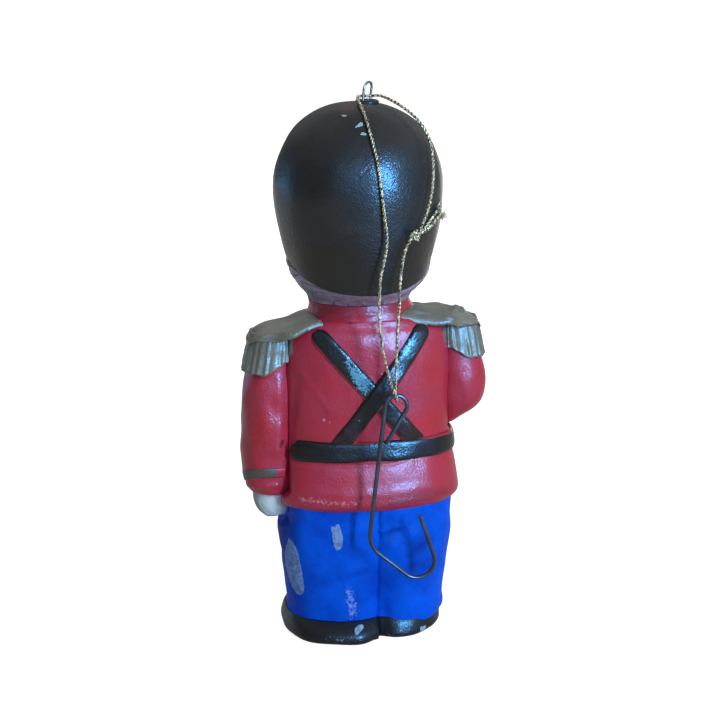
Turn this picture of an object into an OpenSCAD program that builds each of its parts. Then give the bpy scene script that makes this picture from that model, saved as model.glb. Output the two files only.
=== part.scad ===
// Toy soldier ornament: a painted cast figure with a hanging eye, a thread loop and a wire hook.
// The figure faces -Y and stands on the plane z = 0. All sizes are in millimetres.

/* [Heights] */
// Height of the boots, sole to trouser cuffs
boot_h = 4.6; // [3.4:0.1:7]
// Height of the trousers, boots to tunic hem
leg_h = 25.4; // [20:0.2:32]
// Height of the tunic skirt, hem to waist
skirt_h = 14.4; // [11:0.2:18]
// Height of the tunic, waist to collar
torso_h = 29.2; // [26:0.2:34]
// Height of the stand collar
collar_h = 3.4; // [2:0.1:5]
// Height of the nape that shows between the collar and the back of the hat
nape_h = 3.5; // [2.5:0.1:6]
// Height of the hat, from the back of its rim to the crown
hat_h = 39.5; // [34:0.1:46]

/* [Hat and head] */
// Width of the hat at its widest
hat_w = 37.2; // [35:0.2:42]
// Depth of the hat, front to back
hat_d = 37; // [34:0.2:42]
// Height of the widest part of the hat above the back of the rim
hat_belly_h = 20.5; // [16:0.5:24]
// How far the rim draws in from the widest part, each side
rim_inset = 2.9; // [1.5:0.1:3.6]
// How much higher the rim is at the front than at the back
rim_rise = 7.2; // [4:0.1:9]
// How far the head is set to the figure's left
head_off = 1.3; // [0:0.1:1.6]
// How far the hanging eye stands to the figure's right of the crown's middle
eye_off = 1.9; // [0:0.1:2.4]
// Width of the head under the rim, hair included
head_w = 31; // [28:0.2:31.4]
// Depth of the head under the rim, hair included
head_d = 30; // [26:0.2:31]
// Width of the neck at the collar
neck_w = 22.6; // [18:0.2:25]
// Depth of the neck at the collar
neck_d = 20; // [17:0.2:21]
// Thickness of the moulded hair
hair_t = 1.1; // [0.8:0.05:1.6]
// Depth of the grooves between the locks of hair
lock_groove = 0.35; // [0.1:0.05:0.5]
// Radius of the nose
nose_r = 1.5; // [1:0.1:2.2]

/* [Tunic] */
// Width of the waist
waist_w = 39.2; // [37:0.2:42]
// Depth of the waist
waist_d = 25.2; // [23:0.2:28]
// Width of the chest under the arms
chest_w = 38.6; // [37:0.2:42]
// Depth of the chest
chest_d = 25.6; // [23:0.2:28]
// Width of the hem at its fullest
hem_w = 43.4; // [41:0.2:46]
// Depth of the hem at its fullest
hem_d = 29.8; // [28:0.2:33]
// How far the hem turns under at its lower edge
hem_turn = 1.1; // [0.4:0.1:1.4]
// How much the collar flares at its foot
collar_flare = 1.9; // [0.8:0.1:2.4]

/* [Sleeves and hands] */
// Distance from the middle of the figure to the flat where each arm joins the tunic
arm_plane = 18; // [17.4:0.1:18.4]
// Reach of each arm from the middle of the figure
arm_reach = 28; // [26.5:0.1:30]
// Depth of the sleeves, front to back
sleeve_d = 13; // [11:0.2:14]
// Height of the end of the left sleeve above the tunic hem
sleeve_drop = 3.3; // [2:0.1:5]
// Height of the right elbow above the waist
elbow_rise = 3; // [2.4:0.1:4.5]
// Height of the forearm, which lies across the front
forearm_h = 8.2; // [7:0.1:9.5]
// How far the forearm stands out from the tunic
forearm_t = 6; // [4.6:0.1:6.2]
// Length of the left hand below its sleeve
hand_len = 6.4; // [5:0.1:8]
// Thickness of the cuff bands
cuff_t = 0.5; // [0.3:0.05:0.8]
// Height of the cuff bands
cuff_h = 2.5; // [1.6:0.1:3.4]
// Height of the plain sleeve below the cuff band
cuff_edge = 0.8; // [0.6:0.1:3]

/* [Shoulders] */
// How much higher the right shoulder stands than the left one, either side of level
shoulder_tilt = 0.9; // [0:0.1:1.8]
// Height of the sleeve tops above the waist
sleeve_top_h = 24.2; // [22:0.1:25.5]
// Thickness of the epaulette pads on the shoulder
pad_t = 1.7; // [1:0.1:2.4]
// Depth of the epaulette pads, front to back
pad_d = 16.4; // [14:0.2:18]
// Length of the fringe
fringe_h = 6.8; // [4:0.1:8]
// Thickness of the fringe over the sleeve
fringe_t = 1.1; // [0.8:0.05:1.8]
// Depth of the flutes in the fringe
flute = 0.45; // [0.2:0.05:0.6]
// Number of flutes round each fringe
flutes = 15; // [9:1:20]

/* [Straps and belt] */
// Width of the belt
belt_h = 5; // [3.6:0.1:6]
// How much higher the belt lies at the back than at the sides
belt_rise = 0.6; // [0:0.1:0.8]
// Thickness of the belt and straps
strap_t = 0.7; // [0.4:0.05:1]
// Width of the cross straps
strap_w = 4.3; // [3:0.1:5.5]
// How far the cross of the straps is skewed to the figure's right at its foot
strap_skew = 1; // [0:0.1:1.5]
// Width of the belt buckle
buckle_w = 6.4; // [5:0.1:8]
// Number of tunic buttons
buttons = 3; // [2:1:4]
// Radius of each button
button_r = 0.95; // [0.7:0.05:1]

/* [Trousers and boots] */
// Width of the trousers at the seat
seat_w = 39.8; // [38:0.2:42]
// Depth of the trousers at the seat
seat_d = 27.4; // [25:0.2:28]
// Width of the trousers at the cuffs
cuffs_w = 35.6; // [33:0.2:37]
// Depth of the trousers at the cuffs
cuffs_d = 25.2; // [22:0.2:27]
// Share of the depth that the crease between the legs takes at the cuffs
crease_share = 0.16; // [0.06:0.01:0.24]
// Width of the pair of boots
boots_w = 36.6; // [35.6:0.2:41]
// Reach of the heels behind the middle of the figure
heel_reach = 15.6; // [14:0.1:18]
// How much further back the left heel stands than the right one
heel_step = 1.6; // [0:0.1:2]
// Reach of the toes in front of the middle of the figure
toe_reach = 18.5; // [16:0.1:20]

/* [Hanger] */
// Diameter of the wire of the hanging eye
eye_wire_d = 0.6; // [0.4:0.05:0.8]
// Width inside the hanging eye
eye_w = 2.2; // [1.8:0.1:2.6]
// Height of the hanging eye above the plug, to the middle of its wire
eye_h = 3.4; // [2.8:0.1:5]
// Angle between the eye and the front of the figure
eye_turn = 58; // [40:1:90]
// Diameter of the plug that closes the pouring hole
plug_d = 3.8; // [3.6:0.1:4.6]
// Diameter of the rim of the plug
plug_rim_d = 5.4; // [5:0.1:6]
// Thickness of the rim of the plug
plug_rim_t = 0.8; // [0.5:0.05:0.9]
// Length of the plug inside the hat
plug_len = 6; // [4:0.5:9]

/* [Thread and hook] */
// Diameter of the thread
thread_d = 0.7; // [0.5:0.05:0.8]
// Diameter of the wire of the hook
hook_wire_d = 0.95; // [0.7:0.05:1.1]
// Height of the hook from bend to bend, to the middle of the wire
hook_h = 42.5; // [38:0.5:46]

/* [Hidden] */

// Paint line between two cast areas, so that neighbours never share space
seam = 0.05;
// Overrun of a cut past the face that it goes through
overrun = 1;
// How square the sections are: 2 is an ellipse
body_square = 2.35;
leg_square = 2.5;
limb_square = 2.2;

// Heights of the joints between the cast areas
cuffs_z = boot_h;
hem_z = cuffs_z + leg_h;
waist_z = hem_z + skirt_h;
collar_z = waist_z + torso_h;
head_z = collar_z + collar_h;
rim_z = head_z + nape_h;
crown_z = rim_z + hat_h;
belly_z = rim_z + hat_belly_h;

// The hat's rim lies in a plane that falls towards the back
rim_d = hat_d - 2 * rim_inset;
function rim_height(y) = rim_z + rim_rise / 2 - rim_rise / rim_d * y;

// The shoulders slope down from the foot of the collar
shoulder_share = 0.3;
collar_foot = neck_w / 2 + collar_flare;
function shoulder_height(x) = collar_z - shoulder_share * max(0, abs(x) - collar_foot);

// Smooth reading of one column of a table whose first column is a rising height
function table_row(tab, z, i = 0) =
    i + 2 >= len(tab) || z <= tab[i + 1][0] ? i : table_row(tab, z, i + 1);
function slope_at(tab, i, k) =
    let (a = max(0, i - 1), b = min(len(tab) - 1, i + 1))
    (tab[b][k] - tab[a][k]) / (tab[b][0] - tab[a][0]);
function read_table(tab, z, k) =
    let (i = table_row(tab, z), run = tab[i + 1][0] - tab[i][0], t = (z - tab[i][0]) / run, r = 1 - t)
    r * r * ((1 + 2 * t) * tab[i][k] + t * run * slope_at(tab, i, k))
    + t * t * ((3 - 2 * t) * tab[i + 1][k] - r * run * slope_at(tab, i + 1, k));

// The shoulders tilt: how much a place on the tunic or an arm is raised, outside the foot of the collar and
// from a third of the way up the chest
tilt_from_share = 0.3;
tilt_over_share = 0.3;
function ease(t) = let (s = bounded(t, 0, 1)) s * s * (3 - 2 * s);
function tilt_at(x, z) =
    -shoulder_tilt * sign(x) * ease((abs(x) - collar_foot) / (arm_plane - collar_foot))
    * ease(((z - waist_z) / torso_h - tilt_from_share) / tilt_over_share);
function tilted(ring, side = 1) = [for (p = ring) [p[0], p[1], p[2] + tilt_at(side * p[0], p[2])]];

// A signed power, and one point of a rounded-square section with its own back and front depth
function spow(v, p) = sign(v) * pow(abs(v), p);
function round_square(a, w, back, front, square) =
    [w * spow(cos(a), 2 / square), (sin(a) > 0 ? back : front) * spow(sin(a), 2 / square)];
function bounded(v, low, high) = min(high, max(low, v));
function mix(a, b, t) = a + (b - a) * t;
function sum(list, i = 0) = i == len(list) ? 0 : list[i] + sum(list, i + 1);
function middle(ring) = [for (k = [0:2]) sum([for (p = ring) p[k]]) / len(ring)];
function angles(n) = [for (i = [0:n - 1]) 360 * i / n];
function steps(n, from = 0, to = 1) = [for (i = [0:n]) mix(from, to, i / n)];

// A closed solid through a stack of rings that turn anticlockwise about the way they are stacked
module skin(rings) {
    n = len(rings[0]);
    m = len(rings);
    function at(j, i) = j * n + i % n;
    polyhedron(
        points = concat([for (r = rings) each r], [middle(rings[0]), middle(rings[m - 1])]),
        faces = concat(
            [for (j = [0:m - 2], i = [0:n - 1]) [at(j, i), at(j + 1, i), at(j + 1, i + 1)]],
            [for (j = [0:m - 2], i = [0:n - 1]) [at(j, i), at(j + 1, i + 1), at(j, i + 1)]],
            [for (i = [0:n - 1]) [n * m, at(0, i), at(0, i + 1)]],
            [for (i = [0:n - 1]) [n * m + 1, at(m - 1, i + 1), at(m - 1, i)]]));
}

// Tables of a body: height, half width, back depth, front depth
function level(z, w, back, front) = [z, w / 2, back / 2, front / 2];
torso_table = [
    level(waist_z, waist_w, waist_d, waist_d),
    level(waist_z + 0.25 * torso_h, mix(waist_w, chest_w, 0.4), chest_d, chest_d),
    level(waist_z + 0.55 * torso_h, chest_w, chest_d, chest_d),
    level(waist_z + 0.78 * torso_h, 0.99 * chest_w, 0.98 * chest_d, 0.96 * chest_d),
    level(waist_z + 0.9 * torso_h, 0.96 * chest_w, 0.93 * chest_d, 0.89 * chest_d),
    level(waist_z + 0.96 * torso_h, mix(neck_w, chest_w, 0.7), 0.87 * chest_d, 0.84 * chest_d),
    level(collar_z, neck_w + 2 * collar_flare, neck_d + collar_flare, neck_d + collar_flare)];
hem_line = hem_w - 2 * hem_turn;
hem_line_d = hem_d - 2 * hem_turn;
hem_turned_d = mix(hem_line_d, hem_d, 0.8);
mid_skirt_d = mix(waist_d, hem_d, 0.65);
skirt_table = [
    level(hem_z, hem_line, hem_line_d, hem_line_d),
    level(hem_z + 0.08 * skirt_h, mix(hem_line, hem_w, 0.8), hem_turned_d, hem_turned_d),
    level(hem_z + 0.2 * skirt_h, hem_w, hem_d, hem_d),
    level(hem_z + 0.6 * skirt_h, mix(waist_w, hem_w, 0.6), mid_skirt_d, mid_skirt_d),
    level(waist_z, waist_w, waist_d, waist_d)];
// The last column is the share of the depth that the crease takes
function leg_level(z, w, back, front, cleft) = [z, w / 2, back / 2, front / 2, cleft * crease_share];
leg_table = [
    leg_level(cuffs_z, cuffs_w, cuffs_d, cuffs_d, 1),
    leg_level(cuffs_z + 0.22 * leg_h, mix(cuffs_w, seat_w, 0.3), mix(cuffs_d, seat_d, 0.35), cuffs_d, 0.9),
    leg_level(cuffs_z + 0.52 * leg_h, mix(cuffs_w, seat_w, 0.7), mix(cuffs_d, seat_d, 0.75), cuffs_d, 0.6),
    leg_level(cuffs_z + 0.75 * leg_h, seat_w, seat_d, mix(cuffs_d, seat_d, 0.4), 0.25),
    leg_level(hem_z, seat_w, 0.99 * seat_d, mix(cuffs_d, seat_d, 0.5), 0.1)];
boot_top_toe = mix(toe_reach, cuffs_d / 2, 0.85);
boot_mid_toe = mix(toe_reach, boot_top_toe, 0.6);
function boot_table(heel) = [
    leg_level(0, 0.97 * boots_w, 1.92 * heel, 1.94 * toe_reach, 1),
    leg_level(0.16 * boot_h, boots_w, 2 * heel, 2 * toe_reach, 1),
    leg_level(0.5 * boot_h, 0.99 * boots_w, 1.96 * heel, 1.94 * toe_reach, 1),
    leg_level(0.75 * boot_h, mix(boots_w, cuffs_w, 0.4), heel + cuffs_d / 2, 2 * boot_mid_toe, 1),
    leg_level(boot_h, cuffs_w + seam, cuffs_d + seam, 2 * boot_top_toe, 1)];

// One ring of a table at a height
function table_point(tab, z, a, grow = 0, square = body_square) =
    let (sizes = [for (k = [1:3]) read_table(tab, z, k) + grow],
        p = round_square(a, sizes[0], sizes[1], sizes[2], square))
    [p[0], p[1], z];
function table_ring(tab, z, n) = [for (a = angles(n)) table_point(tab, z, a)];

// How far back (side = 1) or forward (side = -1) the tunic reaches at a place on it
function tunic_reach(x, z, side) =
    let (tab = z < waist_z ? skirt_table : torso_table, w = read_table(tab, z, 1),
        depth = read_table(tab, z, side > 0 ? 2 : 3))
    depth * pow(max(0, 1 - pow(min(1, abs(x) / w), body_square)), 1 / body_square);

// Hat: a dome over the widest part, and a gentle taper below it down to the slanted rim
hat_sides = 44;
dome_square = 2.2;
taper_power = 1.7;
hat_steps = [0, 0.06, 0.16, 0.28, 0.4, 0.52, 0.63, 0.73, 0.81, 0.875, 0.925, 0.96, 0.982, 0.995];
hat_flat_share = 0.995;
function hat_radius(z, low) =
    z >= belly_z
    ? pow(max(0, 1 - pow((z - belly_z) / (crown_z - belly_z), dome_square)), 1 / dome_square)
    : 1 - 2 * rim_inset / hat_w * pow((belly_z - z) / (belly_z - low), taper_power);
function hat_point(a, s) =
    let (low = rim_height(rim_d / 2 * sin(a)), z = mix(low, crown_z, s), r = hat_radius(z, low))
    [head_off + hat_w / 2 * r * cos(a), hat_d / 2 * r * sin(a), z];
module hat() {
    color([0.06, 0.06, 0.07])
    difference() {
        skin([for (s = hat_steps) [for (a = angles(hat_sides)) hat_point(a, s)]]);
        plug_place() translate([0, 0, -plug_len]) cylinder(r = plug_d / 2, h = plug_len + overrun, $fn = 48);
    }
}

// The plug closes the pouring hole in the crown, and the eye's legs run down through it
plug_z = mix(rim_height(0), crown_z, hat_flat_share);
plug_top = plug_rim_t + seam;
module plug_place() {
    translate([head_off - eye_off, 0, plug_z]) children();
}
module hanger_plug() {
    color([0.1, 0.1, 0.11])
    plug_place() difference() {
        union() {
            translate([0, 0, seam])
                cylinder(r1 = plug_rim_d / 2, r2 = (plug_rim_d - plug_rim_t) / 2, h = plug_rim_t, $fn = 48);
            translate([0, 0, -plug_len + seam]) cylinder(r = plug_d / 2 - seam, h = plug_len, $fn = 48);
        }
        hairpin(eye_wire_d / 2 + seam, plug_len + overrun);
    }
}

// Wire of the hanging eye: a hairpin
eye_bend_r = (eye_w + eye_wire_d) / 2;
eye_bend_z = plug_top + eye_h - eye_bend_r;
module hairpin(r, leg) {
    rotate([0, 0, eye_turn]) {
        for (side = [-1, 1]) {
            translate([side * eye_bend_r, 0, -leg]) cylinder(r = r, h = leg + eye_bend_z, $fn = 32);
        }
        translate([0, 0, eye_bend_z]) rotate([90, 0, 0])
            rotate_extrude(angle = 180, $fn = 48) translate([eye_bend_r, 0]) circle(r = r, $fn = 32);
    }
}
module hanger_eye() {
    color([0.55, 0.56, 0.55]) plug_place() hairpin(eye_wire_d / 2, plug_len - eye_wire_d);
}

// Head: it swells from the neck to the rim of the hat, and its top is cut to the rim's plane
head_sides = 36;
swell_power = 0.85;
function swell(s) = (1 - cos(180 * pow(s, swell_power))) / 2;
function head_point(a, s, grow) =
    let (top_z = rim_height((head_d / 2 + grow) * sin(a)) - seam,
        w = mix(neck_w, head_w, swell(s)) / 2 + grow, d = mix(neck_d, head_d, swell(s)) / 2 + grow)
    [head_off + w * cos(a), d * sin(a), mix(head_z + seam, top_z, s)];
skull_in = -hair_t - 2 * seam;
skull_steps = 7;
nose_share = 0.55;
module head() {
    color([0.85, 0.66, 0.55])
    union() {
        skin([for (s = steps(skull_steps)) [for (a = angles(head_sides)) head_point(a, s, skull_in)]]);
        translate(head_point(270, nose_share, skull_in - nose_r / 3)) sphere(r = nose_r, $fn = 32);
    }
}

// Hair: a band of locks from ear to ear round the back
hair_from = -12;
hair_to = 192;
hair_locks = 13;
function lock_cut(a) =
    lock_groove * (1 - pow(abs(sin(180 * hair_locks * (a - hair_from) / (hair_to - hair_from))), 0.5));
function hair_column(a) = concat(
    [for (s = steps(skull_steps)) head_point(a, s, -hair_t)],
    [for (s = steps(4, 1, 0)) head_point(a, s, -lock_cut(a))]);
module hair() {
    color([0.42, 0.4, 0.52])
    skin([for (a = steps(3 * hair_locks, hair_to, hair_from)) hair_column(a)]);
}

module collar() {
    color([0.62, 0.16, 0.2])
    skin([for (s = [0, 0.35, 0.7, 1]) [for (a = angles(32))
        let (flare = collar_flare * (1 - s) * (1 - s), z = mix(collar_z + seam, head_z, s))
        [head_off * s + (neck_w / 2 + flare) * cos(a), (neck_d / 2 + flare / 2) * sin(a), z]]]);
}

// Tunic: cut flat where the arms join, down to the elbow on the right, and sloped under the epaulettes
torso_sides = 48;
elbow_z = waist_z + elbow_rise;
function right_limit(z) = arm_plane + max(0, elbow_z - z);
function clip_torso(p) =
    [bounded(p[0], -right_limit(p[2]), arm_plane), p[1], min(p[2], shoulder_height(p[0]))];
module tunic() {
    color([0.62, 0.16, 0.2])
    skin([for (s = [0, 0.06, 0.1, 0.25, 0.4, 0.55, 0.68, 0.78, 0.86, 0.92, 0.965, 1])
        tilted([for (p = table_ring(torso_table, mix(waist_z, collar_z, s), torso_sides)) clip_torso(p)])]);
}
module tunic_skirt() {
    color([0.6, 0.18, 0.22])
    skin([for (s = [0, 0.03, 0.08, 0.14, 0.22, 0.4, 0.6, 0.8, 1])
        [for (p = table_ring(skirt_table, mix(hem_z, waist_z - seam, s), torso_sides))
            [min(p[0], arm_plane), p[1], p[2]]]]);
}

// Sleeves. Each row gives a height, the outer and inner edge as shares of the arm's width, and a depth share
arm_w = arm_reach - arm_plane;
arm_in = arm_plane + seam;
sleeve_top_z = waist_z + sleeve_top_h;
sleeve_end_z = hem_z + sleeve_drop;
function arm_row(z, outer, inner, depth) =
    [z, arm_plane + (outer - inner) * arm_w / 2, (outer + inner) * arm_w / 2, depth * sleeve_d / 2];
left_shares = [
    [0, 0.8, 0.15, 0.8], [0.02, 0.86, 0.2, 0.87], [0.07, 0.94, 0.25, 0.95], [0.18, 1, 0.25, 1],
    [0.5, 0.98, 0.25, 1], [0.7, 0.95, 0.25, 0.98], [0.83, 0.86, 0.25, 0.92], [1, 0.77, 0.25, 0.84]];
right_shares = [
    [0, 0.12, 0.04, 0.35], [0.04, 0.34, 0.1, 0.56], [0.125, 0.64, 0.2, 0.76], [0.21, 0.84, 0.25, 0.88],
    [0.3, 0.96, 0.25, 0.95], [0.4, 1, 0.25, 1], [0.55, 0.96, 0.25, 0.98], [0.72, 0.86, 0.25, 0.92],
    [1, 0.77, 0.25, 0.84]];
left_arm = [for (r = left_shares) arm_row(mix(sleeve_end_z, sleeve_top_z, r[0]), r[1], r[2], r[3])];
right_arm = [for (r = right_shares) arm_row(mix(elbow_z, sleeve_top_z, r[0]), r[1], r[2], r[3])];
function arm_point(tab, z, a, grow = 0) =
    let (w = read_table(tab, z, 2) + grow, d = read_table(tab, z, 3) + grow,
        p = round_square(a, w, d, d, limb_square))
    [max(arm_in, read_table(tab, z, 1) + p[0]), p[1], z];
sleeve_sides = 28;
left_sleeve_steps = [0, 0.02, 0.05, 0.12, 0.25, 0.45, 0.65, 0.78, 0.88, 1];
module left_sleeve() {
    color([0.62, 0.16, 0.2])
    skin([for (s = left_sleeve_steps) tilted([for (a = angles(sleeve_sides))
        arm_point(left_arm, mix(sleeve_end_z, sleeve_top_z - seam, s), a)])]);
}
// The right forearm meets the upper arm at a flat in front of the elbow
forearm_plane = 0.35 * sleeve_d;
right_sleeve_steps = [0, 0.02, 0.05, 0.1, 0.16, 0.24, 0.35, 0.5, 0.65, 0.78, 0.88, 1];
module right_sleeve() {
    color([0.62, 0.16, 0.2])
    mirror([1, 0, 0])
    skin([for (s = right_sleeve_steps) tilted([for (a = angles(sleeve_sides))
        let (p = arm_point(right_arm, mix(elbow_z, sleeve_top_z - seam, s), a))
        [p[0], max(-forearm_plane, p[1]), p[2]]], -1)]);
}

// Forearm: it lies on the front of the tunic. Shares: across from the arm, out from the chest, up, full size
forearm_z = elbow_z + 0.6 * forearm_h;
arm_mid = arm_plane + arm_w / 2;
function front_y(x, z) = -tunic_reach(x, z, -1);
forearm_shares = [
    [1, 1, 0], [0.97, 0.72, 0], [0.88, 0.42, 0], [0.72, 0.18, 0.04], [0.52, 0.04, 0.1], [0.3, 0, 0.16]];
forearm_out = -chest_d / 2 - 0.45 * forearm_t;
forearm_start = -forearm_plane - seam;
forearm_path = [for (r = forearm_shares)
    [-r[0] * arm_mid, mix(forearm_out, forearm_start, r[1]), forearm_z + r[2] * forearm_h, 1 - 0.6 * r[2]]];
function path_dir(path, i, start) =
    let (a = path[max(0, i - 1)], b = path[min(len(path) - 1, i + 1)], d = [b[0] - a[0], b[1] - a[1], 0])
    i == 0 ? start : d / norm(d);
// The forearm and hand lie over the crossed straps
function strap_lift(x) =
    2 * (strap_t + seam) * bounded((strap_foot_x + 1.8 * strap_w - abs(x)) / strap_w, 0, 1);
function rest_on_tunic(q) =
    [q[0], abs(q[0]) < arm_plane ? min(q[1], front_y(q[0], q[2]) - seam - strap_lift(q[0])) : q[1], q[2]];
arm_dir = [0, -1, 0];
// A ring square to a level path, with its back resting on the tunic
function limb_ring(path, i, start, tall, thick, n) =
    let (c = path[i], d = path_dir(path, i, start), h = c[3] * tall / 2)
    [for (a = angles(n)) let (p = round_square(a, c[3] * thick / 2, h, h, limb_square))
        rest_on_tunic([c[0] + d[1] * p[0], c[1] - d[0] * p[0], c[2] + p[1]])];
module right_forearm() {
    color([0.62, 0.16, 0.2])
    skin([for (i = [0:len(forearm_path) - 1])
        limb_ring(forearm_path, i, arm_dir, forearm_h, mix(arm_w, forearm_t, min(1, i / 2)), sleeve_sides)]);
}

// Hands
hand_shares = [
    [0, 0.38, -0.14, 0.18], [0.06, 0.5, -0.02, 0.34], [0.2, 0.62, 0.06, 0.5], [0.5, 0.72, 0.12, 0.62],
    [0.8, 0.77, 0.15, 0.66], [1, 0.78, 0.15, 0.66]];
hand_tip_z = sleeve_end_z - hand_len;
left_palm = [for (r = hand_shares) arm_row(mix(hand_tip_z, sleeve_end_z, r[0]), r[1], r[2], r[3])];
module left_hand() {
    color([0.85, 0.86, 0.84])
    skin([for (s = [0, 0.05, 0.14, 0.3, 0.5, 0.75, 1]) [for (a = angles(24))
        arm_point(left_palm, mix(hand_tip_z, sleeve_end_z - seam, s), a)]]);
}
palm_shares = [
    [0, 0, 0, 0.8], [0.12, 0, 0.02, 0.84], [0.24, 0.04, 0.03, 0.82], [0.34, 0.1, 0.02, 0.68],
    [0.39, 0.16, 0, 0.42]];
wrist_at = len(forearm_path) - 1;
wrist = forearm_path[wrist_at];
wrist_dir = path_dir(forearm_path, wrist_at, arm_dir);
palm_path = [for (r = palm_shares)
    [wrist[0] + 2 * seam + r[0] * arm_mid, wrist[1] + r[1] * forearm_t, wrist[2] + r[2] * forearm_h, r[3]]];
module right_hand() {
    color([0.85, 0.86, 0.84])
    skin([for (i = [0:len(palm_path) - 1]) limb_ring(palm_path, i, wrist_dir, forearm_h, forearm_t, 24)]);
}

// Cuff bands: thin open bands that lie on the sleeves
arm_open = 116;
cuff_z = sleeve_end_z + cuff_edge;
function band_column(tab, a, low, high, outer) = [
    arm_point(tab, high, a, 2 * seam), arm_point(tab, mix(low, high, 0.35), a, 2 * seam),
    arm_point(tab, low, a, 2 * seam), arm_point(tab, low, a, 0.8 * outer),
    arm_point(tab, mix(low, high, 0.5), a, outer), arm_point(tab, high, a, 0.8 * outer)];
module left_cuff_band() {
    color([0.4, 0.39, 0.38])
    skin([for (a = steps(28, -arm_open, arm_open))
        band_column(left_arm, a, cuff_z, cuff_z + cuff_h, cuff_t)]);
}
// The right band stands round the outer side of the forearm, one step before the hand
band_open = 80;
band_step = len(forearm_path) - 2;
module right_cuff_band() {
    i = band_step;
    at = [for (k = [0:2]) forearm_path[i][k]];
    full = forearm_path[i][3];
    d = path_dir(forearm_path, i, arm_dir);
    profile = [[-cuff_h / 2, seam], [-cuff_h / 2, cuff_t], [cuff_h / 2, cuff_t], [cuff_h / 2, seam]];
    color([0.4, 0.39, 0.38])
    skin([for (a = steps(18, -band_open, band_open)) [for (e = profile)
        let (w = full * forearm_t / 2 + e[1], h = full * forearm_h / 2 + e[1],
            p = round_square(a, w, h, h, limb_square))
        rest_on_tunic(at + [d[1] * p[0] + d[0] * e[0], d[1] * e[0] - d[0] * p[0], p[1]])]]);
}

// Epaulettes: a soft pad over the shoulder. Shares: along the pad, thickness, depth
pad_in = collar_foot + 2 * seam;
pad_out = arm_reach - 0.11 * arm_w;
inner_pad_shares = [[0, 0.5, 0.5], [0.35, 0.6, 0.72], [0.7, 0.75, 0.9], [1, 0.88, 0.98]];
outer_pad_shares = [
    [0, 0.88, 0.98], [0.3, 0.96, 1], [0.55, 0.92, 0.98], [0.76, 0.6, 0.9], [0.9, 0.2, 0.78], [1, -0.2, 0.6]];
function pad_ring(x, low, thick, half) =
    let (high = shoulder_height(x) + thick * pad_t)
    [for (a = angles(24)) let (lift = max(0, sin(a)))
        [x, half * spow(cos(a), 0.9), max(low, mix(low, high, lift) + (sin(a) < 0 ? 0 : seam))]];
module epaulette(side) {
    skin(concat(
        [for (r = inner_pad_shares) let (x = mix(pad_in, arm_plane - seam, r[0]))
            tilted(pad_ring(x, shoulder_height(x) + seam, r[1], r[2] * pad_d / 2), side)],
        [for (r = outer_pad_shares) let (x = mix(arm_in, pad_out, r[0]))
            tilted(pad_ring(x, sleeve_top_z + seam, r[1], r[2] * pad_d / 2), side)]));
}
module left_epaulette() {
    color([0.45, 0.45, 0.38]) epaulette(1);
}
module right_epaulette() {
    color([0.45, 0.45, 0.38]) mirror([1, 0, 0]) epaulette(-1);
}

// Fringe: a fluted skirt of cords round the top of the sleeve
function fringe_column(tab, a) =
    let (cut = flute * pow(cos(flutes * 90 * (a + arm_open) / arm_open), 2),
        low = sleeve_top_z - fringe_h, high = sleeve_top_z)
    [arm_point(tab, high, a, seam), arm_point(tab, low, a, seam), arm_point(tab, low, a, fringe_t - cut),
     arm_point(tab, mix(low, high, 0.45), a, fringe_t - cut), arm_point(tab, high, a, fringe_t - flute)];
module fringe(tab, side) {
    skin([for (a = steps(4 * flutes, -arm_open, arm_open)) tilted(fringe_column(tab, a), side)]);
}
module left_fringe() {
    color([0.45, 0.45, 0.38]) fringe(left_arm, 1);
}
module right_fringe() {
    color([0.45, 0.45, 0.38]) mirror([1, 0, 0]) fringe(right_arm, -1);
}

// Belt: an open band whose rounded ends stop each side of the left arm
belt_from = 30;
belt_to = 360 - belt_from;
belt_cells = 52;
// The belt's ends are round over this share of its length, and its edges are a bevel
belt_end_share = 0.03;
bevel_share = 0.6;
function waist_point(z, a, grow) = table_point(z < waist_z ? skirt_table : torso_table, z, a, grow);
function belt_column(a, u) =
    let (past = max(0, abs(u - 0.5) - 0.5 + belt_end_share) / belt_end_share,
        half = belt_h / 2 * max(0.25, sqrt(max(0, 1 - past * past))), z = waist_z + belt_rise * sin(a))
    [waist_point(z + half, a, seam), waist_point(z, a, seam), waist_point(z - half, a, seam),
     waist_point(z - half, a, bevel_share * strap_t), waist_point(z - bevel_share * half, a, strap_t),
     waist_point(z + bevel_share * half, a, strap_t), waist_point(z + half, a, bevel_share * strap_t)];
module belt() {
    color([0.08, 0.08, 0.09])
    skin([for (u = steps(belt_cells)) belt_column(mix(belt_from, belt_to, u), u)]);
}
module belt_buckle() {
    z = waist_z - belt_rise;
    frame = buckle_w / 6;
    belt_edge = bevel_share * belt_h / 2;
    belt_face = min(front_y(0, z - belt_edge), front_y(0, z), front_y(0, z + belt_edge)) - strap_t;
    color([0.45, 0.45, 0.38])
    translate([0, belt_face - seam, z]) rotate([90, 0, 0])
    difference() {
        linear_extrude(height = strap_t) square([buckle_w, belt_h + frame], center = true);
        translate([0, 0, strap_t / 3]) linear_extrude(height = strap_t)
            square([buckle_w - 2 * frame, belt_h - frame], center = true);
    }
}

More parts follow.
